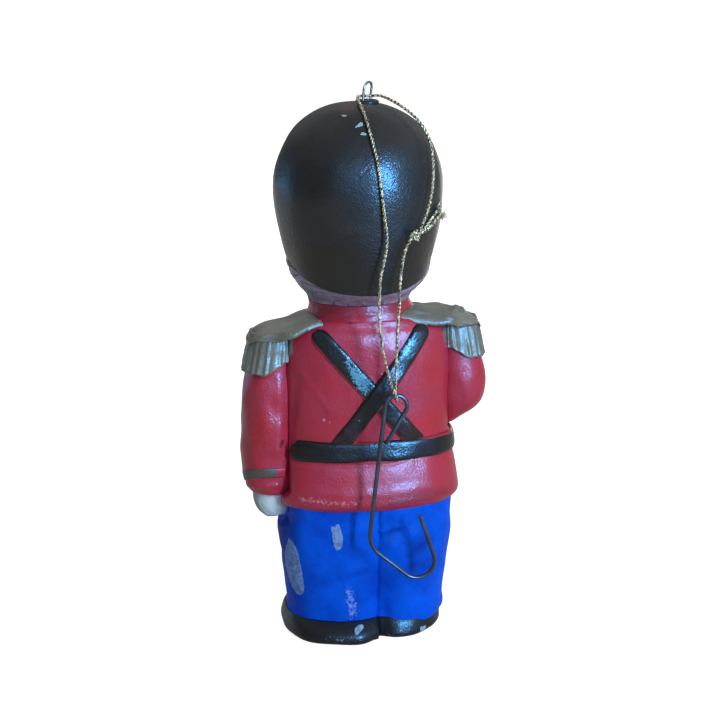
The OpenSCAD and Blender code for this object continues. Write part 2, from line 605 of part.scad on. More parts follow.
// Cross straps: each runs straight across the body, with a round upper end, and stops on the belt
strap_top_z = collar_z - 0.4 * strap_w;
strap_top_x = 0.56 * chest_w / 2;
strap_foot_x = 0.46 * chest_w / 2;
strap_steps = concat([0, 0.02, 0.05], steps(17, 0.1, 1));
strap_section = [
    [-1, seam], [0, seam], [1, seam], [1, bevel_share * strap_t], [bevel_share, strap_t],
    [-bevel_share, strap_t], [-1, bevel_share * strap_t]];
function strap_stop(face) = waist_z + face * belt_rise + belt_h / 2 + seam;
function strap_point(side, face, s, t, lift) =
    let (top = [side * strap_top_x + 0.6 * strap_skew, strap_top_z - strap_w / 2],
        foot = [-side * strap_foot_x - 1.2 * strap_skew, strap_stop(face)],
        run = norm(foot - top), d = (foot - top) / run, along = s * (run + strap_w) - strap_w / 2,
        near_end = max(0, -along) / (strap_w / 2),
        half = strap_w / 2 * max(0.2, sqrt(max(0, 1 - near_end * near_end))),
        p = top + d * along + [-d[1], d[0]] * (t * half),
        q = p[1] < foot[1] ? p - d * ((p[1] - foot[1]) / d[1]) : p)
    [q[0], face * (tunic_reach(q[0], q[1], face) + lift), q[1]];
// The strap on top climbs over the other one where they cross
cross_share = 0.53;
function climb(s) = (strap_t + seam) * exp(-pow((s - cross_share) / 0.17, 4));
function strap_ring(side, face, s, lift) =
    [for (q = strap_section) strap_point(side, face, s, q[0] * side * face, q[1] + lift)];
module strap(side, face, on_top) {
    color([0.08, 0.08, 0.09])
    skin([for (s = strap_steps) tilted(strap_ring(side, face, s, on_top ? climb(s) : 0))]);
}
module cross_strap_over() {
    strap(-1, 1, true);
}
module cross_strap_under() {
    strap(1, 1, false);
}
module front_strap_over() {
    strap(1, -1, true);
}
module front_strap_under() {
    strap(-1, -1, false);
}

// Buttons down the front, between the straps
module tunic_buttons() {
    color([0.45, 0.45, 0.38])
    for (i = [0:buttons - 1]) {
        z = mix(mix(strap_stop(-1), strap_top_z, 0.68), collar_z - collar_h, i / (buttons - 1));
        translate([0, front_y(0, z) - button_r / 2, z]) rotate([90, 0, 0])
            cylinder(r1 = button_r, r2 = 0.7 * button_r, h = button_r / 2, $fn = 32);
    }
}

// Trousers and boots: each side is half of a section with a crease where the two meet
crease_w = seat_w / 14;
function half_ring(tab, z, n) =
    [for (a = steps(n, -90, 90)) let (p = table_point(tab, z, a, 0, leg_square))
        [seam / 2 + p[0], p[1] * (1 - read_table(tab, z, 4) * exp(-pow(p[0] / crease_w, 2))), z]];
leg_steps = [0, 0.03, 0.15, 0.3, 0.45, 0.6, 0.72, 0.78, 0.83, 0.9, 1];
// The left trouser leg gives way to the hand that lies against it
function hand_limit(z) = arm_plane + max(0, hand_tip_z - seam - z);
module trouser_leg(by_hand) {
    skin([for (s = leg_steps) [for (p = half_ring(leg_table, mix(cuffs_z + seam, hem_z - seam, s), 26))
        [by_hand ? min(p[0], hand_limit(p[2])) : p[0], p[1], p[2]]]]);
}
module left_trouser_leg() {
    color([0.0, 0.2, 0.85]) trouser_leg(true);
}
module right_trouser_leg() {
    color([0.0, 0.2, 0.85]) mirror([1, 0, 0]) trouser_leg(false);
}
module boot(heel) {
    skin([for (s = [0, 0.16, 0.4, 0.6, 0.8, 1]) half_ring(boot_table(heel), s * boot_h, 26)]);
}
module left_boot() {
    color([0.04, 0.05, 0.07]) boot(heel_reach);
}
module right_boot() {
    color([0.04, 0.05, 0.07]) mirror([1, 0, 0]) boot(heel_reach - heel_step);
}

// Thread: it goes through the eye, and both strands fall over the back of the hat to the hook
thread_points = [
    [-0.6, 0, 121.1], [0.6, 0.1, 121.1], [1.5, 1.2, 121.1], [1.9, 3.2, 120.7], [1.9, 6, 120],
    [1.7, 9.2, 118.6], [1.4, 12.8, 116.3], [0.9, 16, 112.7], [0.2, 18, 108.6], [-0.3, 18.9, 103.6],
    [-0.9, 19.2, 98.4], [-1.5, 19.2, 93.2], [-1.1, 19.2, 89.4], [-0.2, 19.2, 85.2], [0.1, 19.3, 80.7],
    [0.2, 19.5, 76.1], [-0.3, 19.7, 71.5], [-1.1, 20, 66.7], [-2.3, 20.4, 62.3], [-3.2, 20.8, 59.6],
    [-3.5, 20.4, 58.6], [-3.6, 19.9, 58.4], [-3.6, 18.9, 58.4], [-3.6, 18.4, 58.6], [-3.6, 18, 59.6],
    [-3.7, 18.2, 62.3], [-3.8, 18.5, 68.3], [-4, 18.6, 74.5], [-4.3, 18.7, 78.8], [-4.4, 18.7, 83],
    [-4.8, 18.5, 86.6], [-5.5, 18.2, 90.2], [-6.9, 17.8, 92.8], [-8.7, 17.4, 94.2], [-9.9, 16.8, 96.6],
    [-11.2, 16, 99.8], [-12, 15.1, 103.4], [-12.4, 13.9, 107.3], [-12.4, 12, 111.1], [-11.8, 10.2, 113.9],
    [-10.4, 8.3, 116.4], [-8.4, 6.2, 118.4], [-6.3, 3.8, 119.9], [-4.6, 1.6, 120.8], [-3.2, 0.3, 121.2],
    [-1.8, 0, 121.1], [-0.6, 0, 121.1]];
thread_spans = len(thread_points) - 1;
function thread_at(t) =
    let (i = min(thread_spans - 1, floor(t)), f = t - i,
        a = thread_points[max(0, i - 1)], b = thread_points[i],
        c = thread_points[i + 1], d = thread_points[min(thread_spans, i + 2)])
    (2 * b + (c - a) * f + (2 * a - 5 * b + 4 * c - d) * f * f + (3 * b - a - 3 * c + d) * f * f * f) / 2;
thread_rings = 79;
thread_sides = 8;
thread_up = [0.1, 0.2, 0.97];
function thread_ring(t, n) =
    let (d = thread_at(min(thread_spans, t + 0.02)) - thread_at(max(0, t - 0.02)), u = d / norm(d),
        side = cross(u, thread_up), s = side / norm(side))
    [for (a = angles(n)) thread_at(t) + thread_d / 2 * (cos(a) * s + sin(a) * cross(u, s))];
module thread_loop() {
    color([0.6, 0.52, 0.3])
    skin([for (i = [0:thread_rings]) thread_ring(thread_spans * i / thread_rings, thread_sides)]);
}

// Knot: two turns of thread side by side round the strand
knot_at = [-7.9, 17.7, 93.6];
knot_turns = [50, 40, 20];
module thread_knot() {
    color([0.5, 0.42, 0.25])
    translate(knot_at) rotate(knot_turns) for (k = [-1, 1]) {
        translate([0, 0, k * thread_d / 2])
            rotate_extrude($fn = 32) translate([1.05 * thread_d, 0]) circle(r = 0.52 * thread_d, $fn = 16);
    }
}

// A wire bent clockwise in one plane: each row is a straight run, the radius of the bend after it and its
// turn. A bead a hair fatter than the wire fuses each run to its bend
hook_r = hook_wire_d / 2;
bead_share = 1.02;
module bent_wire(rows, i = 0) {
    run = rows[i][0];
    bend = rows[i][1];
    turn = rows[i][2];
    rotate([0, 90, 0]) cylinder(r = hook_r, h = run, $fn = 24);
    if (i > 0) {
        sphere(r = bead_share * hook_r, $fn = 24);
    }
    if (i < len(rows) - 1) {
        translate([run, 0, 0]) sphere(r = bead_share * hook_r, $fn = 24);
        translate([run, -bend, 0]) {
            rotate([0, 0, 90 - turn])
                rotate_extrude(angle = turn, $fn = 64) translate([bend, 0]) circle(r = hook_r, $fn = 24);
            rotate([0, 0, -turn]) translate([0, bend, 0]) bent_wire(rows, i + 1);
        }
    }
}

// Hook: one length of wire. The small bend hangs in the thread and the big bend goes over a branch
hook_run_shares = [0.2, 0.68, 0.19, 0.235];
hook_bend_shares = [0.056, 0.14, 0.09, 0];
hook_turns = [204, 56, 149, 0];
hook_rows = [for (i = [0:3]) [hook_h * hook_run_shares[i], hook_h * hook_bend_shares[i], hook_turns[i]]];
// The first run rises at this angle, so that the shank hangs as it does in the thread
first_rise = 120.5;
first_run = hook_rows[0][0];
small_bend_r = hook_rows[0][1];
small_bend_at = [
    first_run * cos(first_rise) + small_bend_r * sin(first_rise),
    first_run * sin(first_rise) - small_bend_r * cos(first_rise)];
hook_at = [-3.6, 19.4, 58.4];
module wire_hook() {
    color([0.2, 0.22, 0.25])
    translate(hook_at + [0, 0, thread_d / 2 + seam + hook_r - small_bend_r])
        rotate([90, 0, 0]) translate(-small_bend_at) rotate([0, 0, first_rise]) bent_wire(hook_rows);
}

hat();
hanger_plug();
hanger_eye();
head();
hair();
collar();
tunic();
tunic_skirt();
left_sleeve();
right_sleeve();
right_forearm();
left_cuff_band();
right_cuff_band();
left_hand();
right_hand();
left_epaulette();
right_epaulette();
left_fringe();
right_fringe();
cross_strap_over();
cross_strap_under();
front_strap_over();
front_strap_under();
belt();
belt_buckle();
tunic_buttons();
left_trouser_leg();
right_trouser_leg();
left_boot();
right_boot();
thread_loop();
thread_knot();
wire_hook();
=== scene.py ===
# Looks of a toy soldier ornament: a hollow casting painted by hand, with a hanging eye, a thread loop
# and a wire hook. The soldier faces -Y. Sizes in the sections are in millimetres.
import math
import bpy
import bmesh
import numpy as np
from mathutils import Matrix


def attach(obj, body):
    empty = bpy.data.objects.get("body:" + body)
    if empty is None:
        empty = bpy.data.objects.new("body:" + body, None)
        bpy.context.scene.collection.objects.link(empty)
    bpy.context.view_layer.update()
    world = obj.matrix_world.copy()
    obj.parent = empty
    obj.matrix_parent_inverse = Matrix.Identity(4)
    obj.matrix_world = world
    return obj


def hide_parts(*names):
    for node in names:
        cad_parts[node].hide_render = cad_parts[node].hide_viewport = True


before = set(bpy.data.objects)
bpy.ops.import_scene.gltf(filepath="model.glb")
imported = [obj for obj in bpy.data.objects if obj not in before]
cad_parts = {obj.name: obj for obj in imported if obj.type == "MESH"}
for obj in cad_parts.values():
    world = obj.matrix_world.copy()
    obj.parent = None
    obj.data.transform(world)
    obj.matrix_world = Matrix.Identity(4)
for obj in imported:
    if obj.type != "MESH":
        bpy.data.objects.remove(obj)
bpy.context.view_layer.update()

# ---- Camera ----
# The picture is taken from behind and a little from the soldier's left, 15 degrees down, on a long
# lens. The aim falls beside the middle of the square frame, so the lens is shifted by a few pixels.
MM = 0.001
AZIMUTH, ELEVATION, DISTANCE = 170, 15, 0.36
AIM = np.array([0.0, 0.0, 0.06])
AIM_PIXEL, FRAME_PIXELS = (364, 370), 720
LENS, SENSOR = 79.9, 36.0
LENS_PIXELS = LENS / SENSOR * FRAME_PIXELS


def towards(azimuth, elevation):
    """The direction from the soldier to a place round it: azimuth 0 is in front, 90 to its left"""
    a, e = math.radians(azimuth), math.radians(elevation)
    return np.array([math.sin(a) * math.cos(e), -math.cos(a) * math.cos(e), math.sin(e)])


view_back = towards(AZIMUTH, ELEVATION)
view_right = np.array([math.cos(math.radians(AZIMUTH)), math.sin(math.radians(AZIMUTH)), 0.0])
view_up = np.cross(view_back, view_right)
camera_place = AIM + DISTANCE * view_back


def in_picture(points):
    """Where points in metres fall in the photograph's frame, in its pixels"""
    d = points - camera_place
    depth = -d @ view_back
    return np.stack([AIM_PIXEL[0] + LENS_PIXELS * (d @ view_right) / depth,
                     AIM_PIXEL[1] - LENS_PIXELS * (d @ view_up) / depth], -1)


def stand(thing, place, back):
    """Puts a camera or a lamp at a place, with its back to a direction"""
    side = np.cross([0, 0, 1], back)
    side = side / np.linalg.norm(side)
    up = np.cross(back, side)
    thing.matrix_world = Matrix([[side[i], up[i], back[i], place[i]] for i in range(3)] + [[0, 0, 0, 1]])
    bpy.context.scene.collection.objects.link(thing)


camera = bpy.data.objects.new("camera", bpy.data.cameras.new("camera"))
camera.data.lens, camera.data.sensor_width = LENS, SENSOR
camera.data.shift_x = (FRAME_PIXELS / 2 - AIM_PIXEL[0]) / FRAME_PIXELS
camera.data.shift_y = (AIM_PIXEL[1] - FRAME_PIXELS / 2) / FRAME_PIXELS
camera.data.clip_start = 0.01
stand(camera, camera_place, view_back)
bpy.context.scene.camera = camera

# ---- Thread loop ----
# A loop of gold thread twisted from two plies. It goes through the eye, and both strands fall over
# the back of the hat to the small bend of the hook. Its route is the one in the part's source.
THREAD_D, THREAD_LENGTH, THREAD_PITCH = 0.7, 155.0, 2.0
PLY_R, PLY_OFFSET, THREAD_STEP = 0.19, 0.17, 0.16
thread_points = [
    (-0.6, 0, 121.1), (0.6, 0.1, 121.1), (1.5, 1.2, 121.1), (1.9, 3.2, 120.7), (1.9, 6, 120),
    (1.7, 9.2, 118.6), (1.4, 12.8, 116.3), (0.9, 16, 112.7), (0.2, 18, 108.6), (-0.3, 18.9, 103.6),
    (-0.9, 19.2, 98.4), (-1.5, 19.2, 93.2), (-1.1, 19.2, 89.4), (-0.2, 19.2, 85.2), (0.1, 19.3, 80.7),
    (0.2, 19.5, 76.1), (-0.3, 19.7, 71.5), (-1.1, 20, 66.7), (-2.3, 20.4, 62.3), (-3.2, 20.8, 59.6),
    (-3.5, 20.4, 58.6), (-3.6, 19.9, 58.4), (-3.6, 18.9, 58.4), (-3.6, 18.4, 58.6), (-3.6, 18, 59.6),
    (-3.7, 18.2, 62.3), (-3.8, 18.5, 68.3), (-4, 18.6, 74.5), (-4.3, 18.7, 78.8), (-4.4, 18.7, 83),
    (-4.8, 18.5, 86.6), (-5.5, 18.2, 90.2), (-6.9, 17.8, 92.8), (-8.7, 17.4, 94.2), (-9.9, 16.8, 96.6),
    (-11.2, 16, 99.8), (-12, 15.1, 103.4), (-12.4, 13.9, 107.3), (-12.4, 12, 111.1),
    (-11.8, 10.2, 113.9), (-10.4, 8.3, 116.4), (-8.4, 6.2, 118.4), (-6.3, 3.8, 119.9),
    (-4.6, 1.6, 120.8), (-3.2, 0.3, 121.2), (-1.8, 0, 121.1), (-0.6, 0, 121.1)]


def through(points, steps=8):
    """A smooth line through points, a few steps to each span"""
    p = np.array(points, float)
    line = []
    for i in range(len(p) - 1):
        a, b, c, d = p[max(0, i - 1)], p[i], p[i + 1], p[min(len(p) - 1, i + 2)]
        for f in np.arange(steps) / steps:
            line.append((2 * b + (c - a) * f + (2 * a - 5 * b + 4 * c - d) * f * f
                         + (3 * b - a - 3 * c + d) * f ** 3) / 2)
    return np.array(line + [p[-1]])


class Field:
    """A value in a node tree, written into sums like a number"""

    def __init__(self, socket):
        self.socket, self.tree = socket, socket.id_data

    def pick(self, name):
        return Field(self.socket.node.outputs[name])

    def math(self, operation, *others):
        return add(self.tree, "ShaderNodeMath", self, *others, operation=operation)

    def __add__(self, other):
        return self.math("ADD", other)

    def __sub__(self, other):
        return self.math("SUBTRACT", other)

    def __rsub__(self, other):
        return add(self.tree, "ShaderNodeMath", other, self, operation="SUBTRACT")

    def __mul__(self, other):
        return self.math("MULTIPLY", other)

    def __truediv__(self, other):
        return self.math("DIVIDE", other)

    def __pow__(self, other):
        return self.math("POWER", other)

    __radd__, __rmul__ = __add__, __mul__


def fill(socket, value):
    """Sets a socket to a plain value, or links it to a Field or a list of them"""
    if isinstance(value, (Field, list)):
        for field in value if isinstance(value, list) else [value]:
            field.tree.links.new(field.socket, socket)
    else:
        socket.default_value = value


def add(tree, kind, *values, **named):
    """A node with its sockets filled in order or by name, and its settings by name"""
    node = tree.nodes.new(kind)
    for key in [k for k in named if hasattr(node, k)]:
        setattr(node, key, named.pop(key))
    for socket, value in zip(node.inputs, values):
        fill(socket, value)
    for key, value in named.items():
        fill(node.inputs[key.replace("_", " ")], value)
    return Field(node.outputs[0]) if len(node.outputs) else node


def new_growth(name, **sizes):
    """A Geometry Nodes tree with named inputs for its sizes and its finish"""
    tree = bpy.data.node_groups.new(name, "GeometryNodeTree")
    tree.interface.new_socket("Geometry", in_out="INPUT", socket_type="NodeSocketGeometry")
    tree.interface.new_socket("Finish", in_out="INPUT", socket_type="NodeSocketMaterial")
    tree.interface.new_socket("Geometry", in_out="OUTPUT", socket_type="NodeSocketGeometry")
    for label, size in sizes.items():
        kind = "NodeSocketInt" if isinstance(size, int) else "NodeSocketFloat"
        tree.interface.new_socket(label, in_out="INPUT", socket_type=kind).default_value = size
    source = tree.nodes.new("NodeGroupInput")
    return tree, {socket.name: Field(socket) for socket in source.outputs if socket.name}


def end_growth(tree, sizes, geometry):
    """Ends a tree in real geometry, smooth, with its finish"""
    real = add(tree, "GeometryNodeRealizeInstances", geometry)
    smooth = add(tree, "GeometryNodeSetShadeSmooth", real)
    done = add(tree, "GeometryNodeSetMaterial", smooth, Material=sizes["Finish"])
    sink = tree.nodes.new("NodeGroupOutput")
    tree.links.new(done.socket, sink.inputs[0])


def place_mesh(name, mesh, material=None):
    """A piece at the origin that holds a mesh"""
    piece = bpy.data.objects.new(name, mesh)
    bpy.context.scene.collection.objects.link(piece)
    if material:
        mesh.materials.append(material)
    return piece


def grow(name, base, tree, finish, **sizes):
    """Runs a tree on a base mesh and keeps what comes out as a plain mesh"""
    piece = place_mesh(name, base)
    step = piece.modifiers.new("growth", "NODES")
    step.node_group = tree
    sizes["Finish"] = finish
    for socket in tree.interface.items_tree:
        if socket.in_out == "INPUT" and socket.name in sizes:
            step[socket.identifier] = sizes[socket.name]
    grown = piece.evaluated_get(bpy.context.evaluated_depsgraph_get())
    mesh = bpy.data.meshes.new_from_object(grown)
    piece.modifiers.clear()
    piece.data = mesh
    mesh.name = name
    return piece


def lines_mesh(name, lines):
    """Lines of points in millimetres as a mesh of edges in metres"""
    points, edges = [], []
    for line in lines:
        edges += [(len(points) + i, len(points) + i + 1) for i in range(len(line) - 1)]
        points += [tuple(float(v) * MM for v in p) for p in line]
    mesh = bpy.data.meshes.new(name)
    mesh.from_pydata(points, edges, [])
    return mesh


def hue(red, green, blue):
    """A paint colour from 0 to 255, as the eye reads it"""
    return tuple((c / 255 / 12.92 if c < 10 else ((c / 255 + 0.055) / 1.055) ** 2.4)
                 for c in (red, green, blue)) + (1.0,)


def new_finish(name):
    """An empty material, its tree and its Object coordinates"""
    material = bpy.data.materials.new(name)
    material.use_nodes = True
    material.node_tree.nodes.clear()
    return material, material.node_tree, add(material.node_tree, "ShaderNodeTexCoord").pick("Object")


def cloud(place, size, detail=2.0, seed=0.0):
    """Cloudy noise from 0 to 1, with blotches of about this size in millimetres"""
    return add(place.tree, "ShaderNodeTexNoise", Vector=place, W=seed, Scale=1 / (size * MM),
               Detail=detail, noise_dimensions="4D")


def blend(share, below, above):
    """One colour over another by a share"""
    node = add(share.tree, "ShaderNodeMix", share, data_type="RGBA").socket.node
    fill(node.inputs[6], below)
    fill(node.inputs[7], above)
    return Field(node.outputs[2])


def step_at(value, middle, soft):
    """0 below a value and 1 above it, over a soft edge"""
    return add(value.tree, "ShaderNodeMapRange", value, middle - soft, middle + soft, 0.0, 1.0,
               interpolation_type="SMOOTHSTEP")


def stored(tree, name):
    """A number stored on the piece's points"""
    if tree.type == "GEOMETRY":
        return add(tree, "GeometryNodeInputNamedAttribute", data_type="FLOAT", Name=name)
    return add(tree, "ShaderNodeAttribute", attribute_name=name).pick("Fac")


def pushed(tree, geometry, height):
    """Geometry moved along its normals"""
    push = add(tree, "ShaderNodeVectorMath", add(tree, "GeometryNodeInputNormal"), operation="SCALE",
               Scale=height)
    return add(tree, "GeometryNodeSetPosition", Geometry=geometry, Offset=push)


def surface(tree, height, **sockets):
    """The surface that ends a material; the height of its relief is in metres"""
    normal = add(tree, "ShaderNodeBump", Height=height, Distance=1.0, Strength=1.0)
    shader = add(tree, "ShaderNodeBsdfPrincipled", Normal=normal, Coat_Normal=normal, **sockets)
    add(tree, "ShaderNodeOutputMaterial", Surface=shader)


def belong(piece, node, body="figure"):
    """Says which body a piece rides on, which node it stands for"""
    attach(piece, body)
    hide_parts(node)


twist, size = new_growth("twisted_plies", Pitch=1.0, Ply=0.1, Strand=0.1, Step=0.1, Sides=8)
run = add(twist, "GeometryNodeResampleCurve", add(twist, "GeometryNodeMeshToCurve", size["Geometry"]),
          mode="LENGTH", Length=size["Step"])
along = add(twist, "GeometryNodeSplineParameter").pick("Length")
ring = add(twist, "GeometryNodeCurvePrimitiveCircle", Resolution=size["Sides"], Radius=size["Ply"])
plies = []
for ply in range(2):
    turned = add(twist, "GeometryNodeSetCurveTilt", Curve=run,
                 Tilt=along / size["Pitch"] * math.tau + ply * math.pi)
    plies.append(add(twist, "GeometryNodeCurveToMesh", Curve=pushed(twist, turned, size["Strand"]),
                     Profile_Curve=ring, Fill_Caps=True))
end_growth(twist, size, add(twist, "GeometryNodeJoinGeometry", Geometry=plies))

gold_thread, tree, place = new_finish("gold_thread")
# Pale foil and a dark core in cloudy patches; their strong contrast also paints the glints of the twist and
# the shade between the plies
foil, dull, gap = cloud(place, 0.5, 2, 3.0), cloud(place, 2.2, 2, 8.0), hue(60, 50, 28)
wrapped = blend(step_at(foil, 0.5, 0.16), gap, hue(255, 244, 200))
wrapped = blend(step_at(dull, 0.58, 0.2) * 0.45, wrapped, gap)
surface(tree, cloud(place, 0.22, 2) * 0.05 * MM, Base_Color=wrapped, Metallic=0.35,
        Roughness=foil * -0.25 + 0.55)
ply_sizes = dict(Pitch=THREAD_PITCH * MM, Ply=PLY_R * MM, Strand=PLY_OFFSET * MM, Step=THREAD_STEP * MM)
thread_line = through(thread_points)
thread = grow("thread_strands", lines_mesh("thread_strands", [thread_line]), twist, gold_thread, **ply_sizes)
belong(thread, "thread_loop", "loop")

# ---- Knot of the thread ----
# The ends of the thread are tied in an overhand knot on the back of the hat. Two tails run up the
# hat from it and end in frayed, shiny fibres.
KNOT_AT, KNOT_R, KNOT_DEPTH = np.array([-7.9, 17.7, 93.6]), 0.37, 0.35
FIBRES, FIBRE_R = 44, 0.055
knot_side, knot_up = np.array([0.85, 0.28, -0.45]), np.array([0.42, -0.25, 0.87])
knot_out = np.cross(knot_up, knot_side)
knot_line = [KNOT_AT + KNOT_R * (math.sin(t) + 2 * math.sin(2 * t)) * knot_side
             + KNOT_R * (math.cos(t) - 2 * math.cos(2 * t)) * knot_up
             - KNOT_DEPTH * math.sin(3 * t) * knot_out for t in np.linspace(0, math.tau, 60)]
tails = [[(-8.3, 17, 93.8), (-9.6, 15.4, 93.6), (-10.9, 14, 94.6),
          (-12.2, 12.9, 95.9), (-13.5, 11.5, 97.1), (-14.5, 10.3, 98.1)],
         [(-8.2, 17.1, 93.4), (-10.4, 14.9, 93.9), (-12.5, 12.8, 94.8),
          (-14.2, 10.5, 95.9), (-15.4, 8.7, 96.3), (-16.2, 7.2, 95.8)]]
knot = grow("knot_turns", lines_mesh("knot_turns", [knot_line] + [through(tail, 6) for tail in tails]), twist,
            gold_thread, **ply_sizes)

tube, size = new_growth("round_wire", Radius=0.5, Sides=16)
wire = add(tube, "GeometryNodeCurveToMesh", Curve=add(tube, "GeometryNodeMeshToCurve", size["Geometry"]),
           Profile_Curve=add(tube, "GeometryNodeCurvePrimitiveCircle", Resolution=size["Sides"],
                             Radius=size["Radius"]), Fill_Caps=True)
end_growth(tube, size, wire)

dice = np.random.default_rng(11)
fibres = []
for tail in tails:
    end, run_on = np.array(tail[-1]), np.array(tail[-1]) - np.array(tail[-2])
    run_on = run_on / np.linalg.norm(run_on)
    for _ in range(FIBRES):
        spread = dice.normal(size=3) * 0.32
        start = end - run_on * dice.uniform(0.2, 1.4) + spread * 0.2
        bend = start + run_on * dice.uniform(0.3, 0.8) + spread
        tip = bend + run_on * dice.uniform(-0.4, 0.5) + dice.normal(size=3) * 0.4 + [0, 0.2, 0.1]
        fibres.append(through([start, bend, tip], 5))
fray = grow("knot_fray", lines_mesh("knot_fray", fibres), tube, gold_thread, Radius=FIBRE_R * MM, Sides=5)
for piece in (knot, fray):
    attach(piece, "loop")
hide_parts("thread_knot")

# ---- Wire hook ----
# One length of dark iron wire, bent by machine. The small bend hangs in the thread and the big
# bend goes over a branch.
HOOK_R, HOOK_H, HOOK_FIRST_RISE = 0.475, 42.5, 120.5
BIGHT_X, BIGHT_Y, BIGHT_Z, THREAD_CLEAR = -3.6, 19.4, 58.4, 0.05
# a straight run and the radius of its bend, as shares of the height, and the bend's turn in degrees
hook_rows = [(0.2, 0.056, 204), (0.68, 0.14, 56), (0.19, 0.09, 149), (0.235, 0, 0)]
heading, at = math.radians(HOOK_FIRST_RISE), np.array([0.0, 0.0])
flat, small_bend = [], None
for run_share, bend_share, bend_turn in hook_rows:
    ahead = np.array([math.cos(heading), math.sin(heading)])
    end = at + ahead * run_share * HOOK_H
    flat += list(np.linspace(at, end, 24))
    right = np.array([ahead[1], -ahead[0]])
    centre = end + right * bend_share * HOOK_H
    small_bend = centre if small_bend is None else small_bend
    flat += [centre + (-right * math.cos(f) + ahead * math.sin(f)) * bend_share * HOOK_H
             for f in np.linspace(0, math.radians(bend_turn), 30 if bend_turn else 1)[1:]]
    at = flat[-1]
    heading -= math.radians(bend_turn)
lift = BIGHT_Z + THREAD_D / 2 + THREAD_CLEAR + HOOK_R - hook_rows[0][1] * HOOK_H
hook_line = [(BIGHT_X + p[0] - small_bend[0], BIGHT_Y, lift + p[1] - small_bend[1])
             for i, p in enumerate(flat) if i == 0 or np.hypot(*(p - flat[i - 1])) > 1e-4]

hook_wire, tree, place = new_finish("hook_wire")
rub = cloud(place, 3.5, 2, 4.0)
surface(tree, cloud(place, 0.3, 2) * 0.012 * MM,
        Base_Color=blend(step_at(rub, 0.6, 0.2) * 0.5, hue(74, 80, 90), hue(108, 118, 132)),
        Metallic=0.8, Roughness=rub * 0.12 + 0.26)
hook = grow("hook_wire_bent", lines_mesh("hook_wire_bent", [hook_line]), tube, hook_wire,
            Radius=HOOK_R * MM, Sides=20)
belong(hook, "wire_hook", "hook")

# ---- Boots ----
# The soles and low uppers of the boots, cast with the figure and painted gloss black. The paint is
# knocked off to the pale ground on the heels.
BOOT_H = 4.6
CUFFS_W, CUFFS_D, SEAT_W, SEAT_D = 35.6, 25.2, 39.8, 27.4
BOOTS_W, HEEL_REACH, HEEL_STEP, TOE_REACH = 36.6, 15.6, 1.6, 18.5
CREASE_SHARE, CREASE_W = 0.16, SEAT_W / 14
BODY_SQUARE, LEG_SQUARE, SPLIT_SHIFT = 2.35, 2.5, 1.1


def mix(a, b, t):
    """Between two values by a share"""
    return a + (b - a) * t


def ease(t):
    """0 below 0 and 1 above 1, with a smooth rise between"""
    t = np.clip(t, 0, 1)
    return t * t * (3 - 2 * t)


def signed(value, power):
    """A power that keeps the sign, which squares off a cosine or a sine"""
    return np.sign(value) * np.abs(value) ** power


def places(x, y, z):
    """Coordinates joined into places"""
    return np.stack(np.broadcast_arrays(x, y, z), -1)


def level(z, w, back, front, *more):
    """One row of a table: height, half width, back depth, front depth"""
    return (z, w / 2, back / 2, front / 2) + more


def read(rows, z, k):
    """Smooth reading of one column of a table whose first column rises"""
    t, z = np.array(rows, float), np.asarray(z, float)
    i = np.clip(np.searchsorted(t[:, 0], z) - 1, 0, len(t) - 2)
    low, high = np.maximum(np.arange(len(t)) - 1, 0), np.minimum(np.arange(len(t)) + 1, len(t) - 1)
    slope = (t[high, k] - t[low, k]) / (t[high, 0] - t[low, 0])
    run = t[i + 1, 0] - t[i, 0]
    f = (z - t[i, 0]) / run
    r = 1 - f
    return (r * r * ((1 + 2 * f) * t[i, k] + f * run * slope[i])
            + f * f * ((3 - 2 * f) * t[i + 1, k] - r * run * slope[i + 1]))


def section(rows, z, a, grow_by=0.0, square=BODY_SQUARE):
    """Points of rounded-square sections of a table, at heights and angles"""
    w, back, front = (read(rows, z, k) + grow_by for k in (1, 2, 3))
    x = w * signed(np.cos(a), 2 / square)
    return places(x, np.where(np.sin(a) > 0, back, front) * signed(np.sin(a), 2 / square), z)


def cast(name, rings, material, **numbers):
    """A closed piece through a stack of rings in millimetres, with numbers stored on its points"""
    m, n = rings.shape[:2]
    points = np.concatenate([rings.reshape(-1, 3), rings[:1].mean(1), rings[-1:].mean(1)]) * MM
    i, j = np.meshgrid(np.arange(n), np.arange(m - 1))
    k = (i + 1) % n
    quads = np.stack([j * n + i, j * n + k, (j + 1) * n + k, (j + 1) * n + i], -1).reshape(-1, 4)
    last = (m - 1) * n
    caps = [(m * n, (a + 1) % n, a) for a in range(n)]
    caps += [(m * n + 1, last + a, last + (a + 1) % n) for a in range(n)]
    mesh = bpy.data.meshes.new(name)
    mesh.from_pydata(points.tolist(), [], quads.tolist() + caps)
    for label, values in numbers.items():
        store(mesh, label, np.append(np.broadcast_to(values, (m, n)).ravel(), [0, 0]))
    work = bmesh.new()
    work.from_mesh(mesh)
    bmesh.ops.recalc_face_normals(work, faces=work.faces)
    work.to_mesh(mesh)
    work.free()
    mesh.shade_smooth()
    return place_mesh(name, mesh, material)


def store(mesh, label, values):
    """Stores one number on each point; the largest wins where there are some already"""
    old = mesh.attributes.get(label)
    if old:
        was = np.empty(len(mesh.vertices))
        old.data.foreach_get("value", was)
        values = np.maximum(was, values)
    else:
        old = mesh.attributes.new(label, "FLOAT", "POINT")
    old.data.foreach_set("value", np.asarray(values, np.float32))


def points_of(piece):
    """A piece's points, normals, and how squarely each faces the camera"""
    count = len(piece.data.vertices)
    points, normals = np.empty(count * 3), np.empty(count * 3)
    piece.data.vertices.foreach_get("co", points)
    piece.data.vertex_normals.foreach_get("vector", normals)
    points, normals = points.reshape(-1, 3), normals.reshape(-1, 3)
    return points, normals, normals @ view_back


